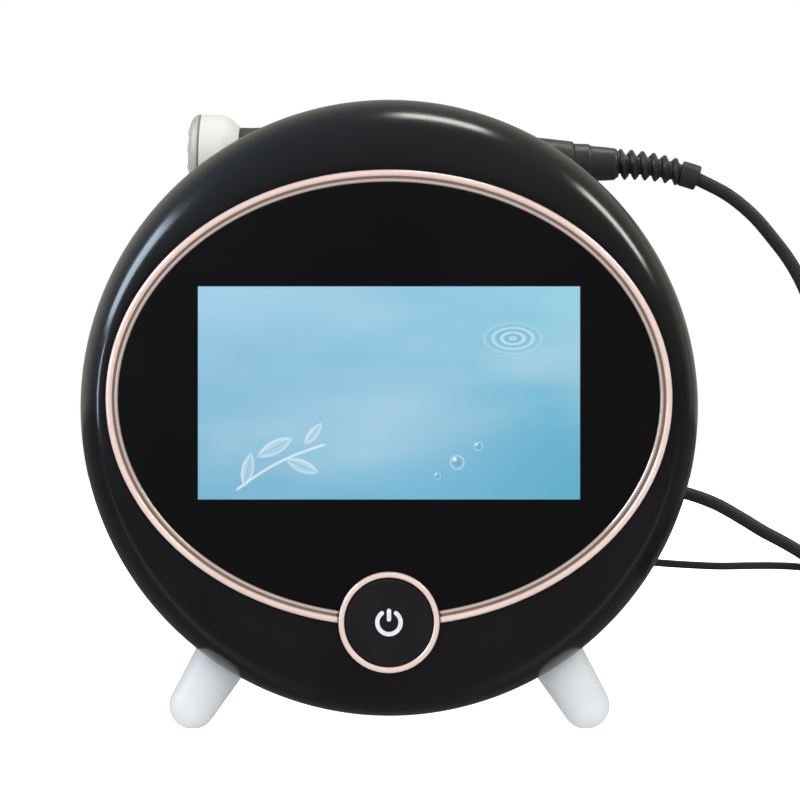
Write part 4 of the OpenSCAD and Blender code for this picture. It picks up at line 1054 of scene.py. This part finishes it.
# millimetres across and up from the middle of the picture
pictureLook = {
    "centre": (0, 139.6), "size": (154.1, 85.9),
    "left": [(0, (116, 180, 209)), (0.5, (142, 194, 222)), (1, (172, 213, 238))],
    "middle": [(0, (111, 184, 214)), (0.3, (160, 202, 226)), (0.62, (146, 200, 226)),
               (1, (150, 203, 228))],
    "right": [(0, (97, 175, 203)), (0.5, (111, 184, 212)), (1, (154, 212, 233))],
    "clouds": {"turn": -32, "scale": (9, 1, 26), "light": (206, 230, 243),
               "dark": (98, 172, 205)},
    # leaf: middle across and up, turn in degrees, length, width
    "leaves": [(-46, -22, 28, 17, 6.2), (-35, -29.5, -22, 15, 5.6), (-57, -31, 78, 15, 5.6),
               (-30.5, -16.5, 52, 12, 4.6)],
    "stem": {"ends": [(-62, -39.5), (-25, -20.5)], "bow": 2.2},
    # ripple: middle across and up, reach, flatness, waves; drop: middle and radius
    "ripples": {"middle": (50, 22), "reach": 15, "flat": 1.9, "waves": 1.75},
    "drops": [(27.5, -28, 3.0), (36, -21.5, 1.9), (19.5, -33.5, 1.5)],
}


def lay(tree, tone, mask, amount, colour):
    return blendColours(tree, times(tree, mask, amount), tone, paint(*colour))


def colourRamp(tree, value, stops):
    node = addNode(tree, "ShaderNodeValToRGB")
    node.color_ramp.interpolation = "B_SPLINE"
    while len(node.color_ramp.elements) < len(stops):
        node.color_ramp.elements.new(0.5)
    for element, (spot, tone) in zip(node.color_ramp.elements, stops):
        element.position = spot
        element.color = paint(*tone)
    tree.links.new(value, node.inputs[0])
    return node.outputs[0]


def skyTones(tree, place, x, z, look):
    # sky and water tones with soft slanted clouds
    width, height = look["size"]
    across = remap(tree, x, -width / 2, width / 2, 0, 1)
    rise = remap(tree, z, -height / 2, height / 2, 0, 1)
    left, middle, right = (colourRamp(tree, rise, look[side])
                           for side in ("left", "middle", "right"))
    tone = blendColours(tree, remap(tree, across, 0, 0.5, 0, 1, True), left, middle)
    tone = blendColours(tree, remap(tree, across, 0.5, 1, 0, 1, True), tone, right)
    slant = addNode(tree, "ShaderNodeMapping")
    slant.inputs["Rotation"].default_value = (0, radians(look["clouds"]["turn"]), 0)
    slant.inputs["Scale"].default_value = look["clouds"]["scale"]
    tree.links.new(place, slant.inputs[0])
    cloud = grain(tree, slant.outputs[0], 1.0, 3, rough=0.45)
    tone = blendColours(tree, remap(tree, cloud, 0.45, 0.75, 0, 0.42, True), tone,
                        paint(*look["clouds"]["light"]))
    return blendColours(tree, remap(tree, cloud, 0.5, 0.25, 0, 0.3, True), tone,
                        paint(*look["clouds"]["dark"]))


def layStem(tree, tone, x, z, stem):
    # a bowed band along the line between its ends
    (ax, az), (bx, bz) = stem["ends"]
    length = sqrt((bx - ax) ** 2 + (bz - az) ** 2)
    ux, uz = (bx - ax) / length, (bz - az) / length
    dx, dz = minus(tree, x, ax), minus(tree, z, az)
    along = plus(tree, times(tree, dx, ux), times(tree, dz, uz))
    aside = minus(tree, times(tree, dz, ux), times(tree, dx, uz))
    bow = times(tree, calc(tree, "SINE", times(tree, along, pi / length)), stem["bow"])
    gap = absolute(tree, minus(tree, aside, bow))
    ends = times(tree, remap(tree, along, 0, 1.5, 0, 1),
                 remap(tree, along, length, length - 2, 0, 1))
    mask = times(tree, remap(tree, gap, 0.3, 0.75, 1, 0, True), ends)
    return lay(tree, tone, mask, 0.75, (228, 244, 250))


def layLeaf(tree, tone, x, z, leaf):
    cx, cz, turn, long, wide = leaf
    c, s = cos(radians(turn)), sin(radians(turn))
    dx, dz = minus(tree, x, cx), minus(tree, z, cz)
    along = plus(tree, times(tree, dx, c), times(tree, dz, s))
    aside = minus(tree, times(tree, dz, c), times(tree, dx, s))
    sunk = (long * long - wide * wide) / (4 * wide)  # two arcs that meet at the tips
    radius = sunk + wide / 2
    reach = calc(tree, "MAXIMUM", hypotenuse(tree, along, plus(tree, aside, sunk)),
                 hypotenuse(tree, along, minus(tree, aside, sunk)))
    body = remap(tree, reach, radius - 0.9, radius + 0.15, 1, 0, True)
    rim = times(tree, body, remap(tree, reach, radius - 1.6, radius - 0.5, 0, 1, True))
    shade = remap(tree, aside, -wide / 2, wide / 2, 0.15, 0.62)
    vein = times(tree, remap(tree, absolute(tree, aside), 0.1, 0.4, 1, 0, True), body)
    tone = lay(tree, tone, body, shade, (214, 238, 247))
    tone = lay(tree, tone, rim, 0.5, (240, 250, 253))
    return lay(tree, tone, vein, 0.35, (96, 168, 202))


def layRipples(tree, tone, x, z, ripples):
    (cx, cz), reach = ripples["middle"], ripples["reach"]
    rise = times(tree, minus(tree, z, cz), ripples["flat"])
    far = hypotenuse(tree, minus(tree, x, cx), rise)
    wave = calc(tree, "SINE", times(tree, far, ripples["waves"]))
    fade = times(tree, remap(tree, far, reach, reach * 0.35, 0, 1, True),
                 remap(tree, far, 0, 1.2, 0.3, 1))
    crest = times(tree, remap(tree, wave, 0.1, 1, 0, 1, True), fade)
    hollow = times(tree, remap(tree, wave, -0.1, -1, 0, 1, True), fade)
    tone = lay(tree, tone, crest, 0.55, (228, 245, 251))
    return lay(tree, tone, hollow, 0.3, (78, 154, 192))


def layDrop(tree, tone, x, z, drop):
    cx, cz, r = drop
    far = hypotenuse(tree, minus(tree, x, cx), minus(tree, z, cz))
    disc = remap(tree, far, r - 0.25, r + 0.15, 1, 0, True)
    rim = times(tree, disc, remap(tree, far, r * 0.55, r, 0, 1, True))
    shine = hypotenuse(tree, minus(tree, x, cx - r * 0.35), minus(tree, z, cz + r * 0.4))
    tone = lay(tree, tone, disc, 0.35, (88, 160, 198))
    tone = lay(tree, tone, rim, 0.6, (216, 238, 247))
    return lay(tree, tone, remap(tree, shine, r * 0.12, r * 0.4, 1, 0, True), 0.85,
               (248, 253, 255))


def pictureColour(tree, place, look):
    # a soft sky with a leafy twig, ripples and drops, and the window that it fills
    spot = axes(tree, place)
    (cx, cz), (width, height) = look["centre"], look["size"]
    x = minus(tree, times(tree, spot[0], 1000), cx)
    z = minus(tree, times(tree, spot[2], 1000), cz)
    tone = layStem(tree, skyTones(tree, place, x, z, look), x, z, look["stem"])
    for leaf in look["leaves"]:
        tone = layLeaf(tree, tone, x, z, leaf)
    tone = layRipples(tree, tone, x, z, look["ripples"])
    for drop in look["drops"]:
        tone = layDrop(tree, tone, x, z, drop)
    window = times(tree, remap(tree, absolute(tree, x), width / 2 - 0.1, width / 2 + 0.1, 1, 0),
                   remap(tree, absolute(tree, z), height / 2 - 0.1, height / 2 + 0.1, 1, 0))
    return tone, window, spot[1]


def displayFinish(name, look):
    finish, tree, shader, place = startFinish(name)
    tone, window, depth = pictureColour(tree, place, pictureLook)
    if look["frontOnly"]:
        window = times(tree, window, calc(tree, "LESS_THAN", depth, (depthY(0) + 0.05) * mm))
    smear = grain(tree, place, 14, 4)
    feed(tree, shader, "Base Color", blendColours(tree, remap(tree, smear, 0.4, 0.7, 0, 1),
                                                  paint(*look["glass"]), paint(*look["haze"])))
    feed(tree, shader, "Roughness", remap(tree, smear, *grainSpan, *look["rough"]))
    feed(tree, shader, "Emission Color", tone)
    feed(tree, shader, "Emission Strength", times(tree, window, look["bright"]))
    shader.inputs["IOR"].default_value = 1.5
    return finish


displayLooks = {
    "coverGlassWithPicture": {"glass": (6, 6, 7), "haze": (9, 9, 10), "rough": (0.03, 0.07),
                              "bright": 0.97, "frontOnly": True},
    "displayPanelPicture": {"glass": (20, 24, 28), "haze": (24, 28, 32), "rough": (0.3, 0.4),
                            "bright": 0.97, "frontOnly": False},
}
for name, look in displayLooks.items():
    finishes[name] = displayFinish(name, look)

# piece, finish, body, material slot and the CAD node it stands for
dressing = [
    (frontShell, "glossBlack", "console", "shell_black", "front_shell"),
    (rearShell, "glossBlack", "console", "dome_black", "rear_shell"),
    (trimRing, "roseTrim", "console", "rose_gold", "trim_ring"),
    (bezelPiece, "roseGold", "console", "rose_gold", "button_bezel"),
    (capPiece, "buttonBlack", "power_button", "button_black", "button_cap"),
    (symbolPiece, "symbolWhite", "power_button", "symbol_white", "power_symbol"),
    (legPieces[0], "glossWhite", "console", "leg_white", "leg_left"),
    (legPieces[1], "glossWhite", "console", "leg_white", "leg_right"),
    (legPieces[2], "glossWhite", "console", "leg_white", "leg_rear"),
    (cradlePiece, "satinBlack", "console", "cradle_black", "cradle"),
    (electrodePlate, "brushedSteel", "handpiece", "plate_grey", "electrode_plate"),
    (electrodeStuds, "brightChrome", "handpiece", "chrome", "electrodes"),
    (headRing, "seamGrey", "handpiece", "part_black", "head_ring"),
    (headBell, "warmWhite", "handpiece", "head_white", "head_bell"),
    (handleBody, "satinBlack", "handpiece", "handle_black", "handle"),
    (handleCap, "satinBlack", "handpiece", "handle_black", "handle_cap"),
    (strainRelief, "softRubber", "handpiece", "relief_black", "strain_relief"),
    (handSocket, "nickel", "console", "socket_metal", "hand_socket"),
    (supplyJack, "satinBlack", "console", "part_black", "supply_jack"),
    (handPlug, "nickel", "console", "socket_metal", "hand_plug"),
    (supplyPlug, "softRubber", "console", "part_black", "supply_plug"),
    (wallAdapter, "satinBlack", "console", "adapter_black", "wall_adapter"),
    (adapterPins, "nickel", "console", "chrome", "adapter_pins"),
    (coverGlass, "coverGlassWithPicture", "console", "cover_glass", "cover_glass"),
]


def wear(piece, finish):
    piece.data.materials.clear()
    piece.data.materials.append(finish)


def evenNormals(piece):
    # broad faces keep their own direction, so flat fronts mirror as flat
    mod = piece.modifiers.new("even", "WEIGHTED_NORMAL")
    mod.keep_sharp = True
    applyModifier(piece, mod)


for piece, finish, body, slot, node in dressing:
    evenNormals(piece)
    wear(piece, finishes[finish])
    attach(piece, body)
    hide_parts(node)
for cord in (cordHand, cordLead):
    wear(cord, finishes["cordRubber"])

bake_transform(cordHand)
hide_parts("hand_cord_drop", "hand_cord_coil", "hand_cord_return")
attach(cordLead, "console")
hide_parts("supply_lead", "supply_lead_coil", "supply_lead_tail")

nodeWear = {
    "front_frame": "frameGrey", "border_film": "borderInk", "display_frame": "frameGrey",
    "display_bracket": "foldedSheet", "bracket_screws": "nickel", "display_ribbon": "ribbonAmber",
    "button_switch": "chipBlack", "button_board": "boardGreen", "button_screws": "nickel",
    "board_standoffs": "brass", "main_board": "boardGreen", "main_chips": "chipBlack",
    "board_screws": "nickel", "power_board": "boardGreen", "power_board_screws": "nickel",
    "transformer": "coilTape", "heat_sink": "foldedSheet", "capacitors": "sleeveBlue",
    "board_harness": "ribbonGrey", "output_wires": "wireRed", "loudspeaker": "chipBlack",
    "leg_bolts": "nickel", "housing_screws": "darkSteel", "cradle_screws": "nickel",
    "handpiece_board": "boardGreen", "socket_nut": "nickel", "jack_nut": "nickel",
    "display_panel": "displayPanelPicture",
}
for node, finish in nodeWear.items():
    wear(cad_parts[node], finishes[finish])
print("pieces dressed")

studio = {
    "paper": [(252, 252, 252), (249, 249, 249)],
    # metres: width and depth, how far back its middle lies, where its glow rises to full
    "floorSize": (8, 4.1), "floorMiddle": 1.6, "floorRise": (0.35, 1.1),
    "floorFill": 0.85, "floorBounce": 0.42, "floorMirror": 0.12,
    # a brighter band across the floor, which the low half of the body mirrors as a thin arc
    "floorBand": {"depth": -0.037, "bow": 0.5, "halfDepth": 0.01, "rise": (0.025, 0.3),
                  "level": 1.25},
    "worldLevel": 0.86,
    # what mirrors see of the room: level ahead, and more above, at the left and behind
    "mirror": {"ahead": 0.1, "above": 0.32, "left": 0.24, "behind": 0.22},
    "mirrorTints": {"left": (0.74, 0.9, 1.16, 1), "right": (1.08, 1.0, 0.86, 1),
                    "behind": (1.0, 0.99, 0.88, 1)},
    # seen in reflections only: angle round the body, distance, depth, size, watts, colour
    "strips": [
        ("leftStrip", 148.5, 1.25, -0.26, (0.55, 0.5), 13.5, (0.7, 0.86, 1.0)),
        ("leftLine", 175, 1.25, -0.62, (0.42, 0.08), 4, (0.75, 0.88, 1.0)),
        ("topStrip", 80.5, 1.25, 0.1, (0.36, 0.2), 3.8, (1.0, 0.98, 0.9)),
        ("rightStrip", 42.5, 1.25, -0.05, (0.42, 0.22), 4.9, (1.0, 0.95, 0.84)),
    ],
    # not seen in reflections: place, size, watts, colour
    "fills": [
        ("sideLeft", (-1.25, -0.85, 0.75), (0.8, 1.1), 4.5, (0.95, 0.98, 1)),
        ("sideRight", (1.3, -0.7, 0.3), (0.8, 0.8), 4, (1, 0.99, 0.97)),
        ("front", (0.15, -1.6, 0.95), (1.6, 1.0), 16, (1, 1, 1)),
        ("backFill", (0.3, 1.5, 1.3), (1.6, 1.0), 4, (1, 1, 1)),
    ],
}


def floorBand(tree, place):
    # brightness of the bowed band, which fades out in front of the middle
    band, spot = studio["floorBand"], axes(tree, place)
    bent = times(tree, times(tree, spot[0], spot[0]), band["bow"])
    off = absolute(tree, plus(tree, bent, minus(tree, spot[1], band["depth"])))
    return times(tree, remap(tree, off, 0, band["halfDepth"], band["level"], 0, True),
                 remap(tree, absolute(tree, spot[0]), *band["rise"], 0, 1))


def makeFloor():
    deselectAll()
    bpy.ops.mesh.primitive_plane_add(size=1, location=(0, studio["floorMiddle"], 0))
    floor = bpy.context.object
    floor.name = "studioFloor"
    floor.scale = (*studio["floorSize"], 1)
    bpy.ops.object.transform_apply(location=True, rotation=True, scale=True)
    finish, tree, shader, place = startFinish("studioPaper")
    feed(tree, shader, "Base Color", blendColours(tree, grain(tree, place, 3, 2),
                                                  *(paint(*tone) for tone in studio["paper"])))
    shader.inputs["Roughness"].default_value = 0.9
    shader.inputs["Specular IOR Level"].default_value = 0.0
    ray = addNode(tree, "ShaderNodeLightPath").outputs
    feed(tree, shader, "Emission Color", (1, 1, 1, 1))
    reach = addNode(tree, "ShaderNodeVectorMath", operation="LENGTH")
    tree.links.new(place, reach.inputs[0])
    fill = remap(tree, reach.outputs["Value"], *studio["floorRise"], studio["floorFill"], 1, True)
    feed(tree, shader, "Emission Strength",
         plus(tree, times(tree, ray["Is Camera Ray"], fill),
              times(tree, ray["Is Diffuse Ray"], studio["floorBounce"])))
    mirrored = addNode(tree, "ShaderNodeEmission")
    feed(tree, mirrored, "Strength", plus(tree, studio["floorMirror"], floorBand(tree, place)))
    pick = addNode(tree, "ShaderNodeMixShader")
    for i, source in enumerate((ray["Is Glossy Ray"], shader.outputs[0], mirrored.outputs[0])):
        tree.links.new(source, pick.inputs[i])
    end = next(n for n in tree.nodes if n.type == "OUTPUT_MATERIAL")
    tree.links.new(pick.outputs[0], end.inputs["Surface"])
    wear(floor, finish)


def makeWorld():
    world = bpy.data.worlds.new("studioRoom")
    bpy.context.scene.world = world
    world.use_nodes = True
    tree = world.node_tree
    back = tree.nodes["Background"]
    ray = addNode(tree, "ShaderNodeLightPath").outputs
    way = axes(tree, addNode(tree, "ShaderNodeTexCoord").outputs["Generated"])
    mirror, tints = studio["mirror"], studio["mirrorTints"]
    level = plus(tree, mirror["ahead"], remap(tree, way[2], 0, 1, 0, mirror["above"]))
    level = plus(tree, level, remap(tree, way[0], 0, -1, 0, mirror["left"]))
    level = plus(tree, level, remap(tree, way[1], 0.1, 0.8, 0, mirror["behind"], True))
    plain = times(tree, minus(tree, 1, ray["Is Glossy Ray"]), studio["worldLevel"])
    level = plus(tree, times(tree, ray["Is Glossy Ray"], level), plain)
    clear = calc(tree, "MAXIMUM", ray["Is Camera Ray"], ray["Is Transmission Ray"])
    feed(tree, back, "Strength", calc(tree, "MAXIMUM", level, clear))
    tint = blendColours(tree, remap(tree, way[0], -0.7, 0.7, 0, 1, True), tints["left"],
                        tints["right"])
    tint = blendColours(tree, remap(tree, way[1], 0.1, 0.6, 0, 1, True), tint, tints["behind"])
    feed(tree, back, "Color", blendColours(tree, ray["Is Glossy Ray"], (1, 1, 1, 1), tint))


def areaLamp(name, place, aim, tangent, size, watts, colour, mirrored):
    # the long side of the lamp lies along the tangent
    bpy.ops.object.light_add(type="AREA", location=place)
    lamp = bpy.context.object
    lamp.name = name
    away = (Vector(place) - Vector(aim)).normalized()
    along = (tangent - away * tangent.dot(away)).normalized()
    lamp.rotation_euler = Matrix((along, away.cross(along), away)).transposed().to_euler()
    lamp.data.shape = "RECTANGLE"
    lamp.data.size, lamp.data.size_y = size
    lamp.data.energy = watts
    lamp.data.color = colour
    lamp.visible_glossy = mirrored
    lamp.visible_diffuse = not mirrored


def makeLamps():
    aim = (0, 0, console["bodyHeight"] * mm)
    for name, angle, distance, depth, size, watts, colour in studio["strips"]:
        turn = radians(angle)
        place = (distance * cos(turn), depth, aim[2] + distance * sin(turn))
        areaLamp(name, place, aim, Vector((-sin(turn), 0, cos(turn))), size, watts, colour, True)
    for name, place, size, watts, colour in studio["fills"]:
        areaLamp(name, place, aim, Vector((1, 0, 0)), size, watts, colour, False)


makeFloor()
makeWorld()
makeLamps()
bpy.context.scene.view_settings.view_transform = "Standard"
print("studio lit")
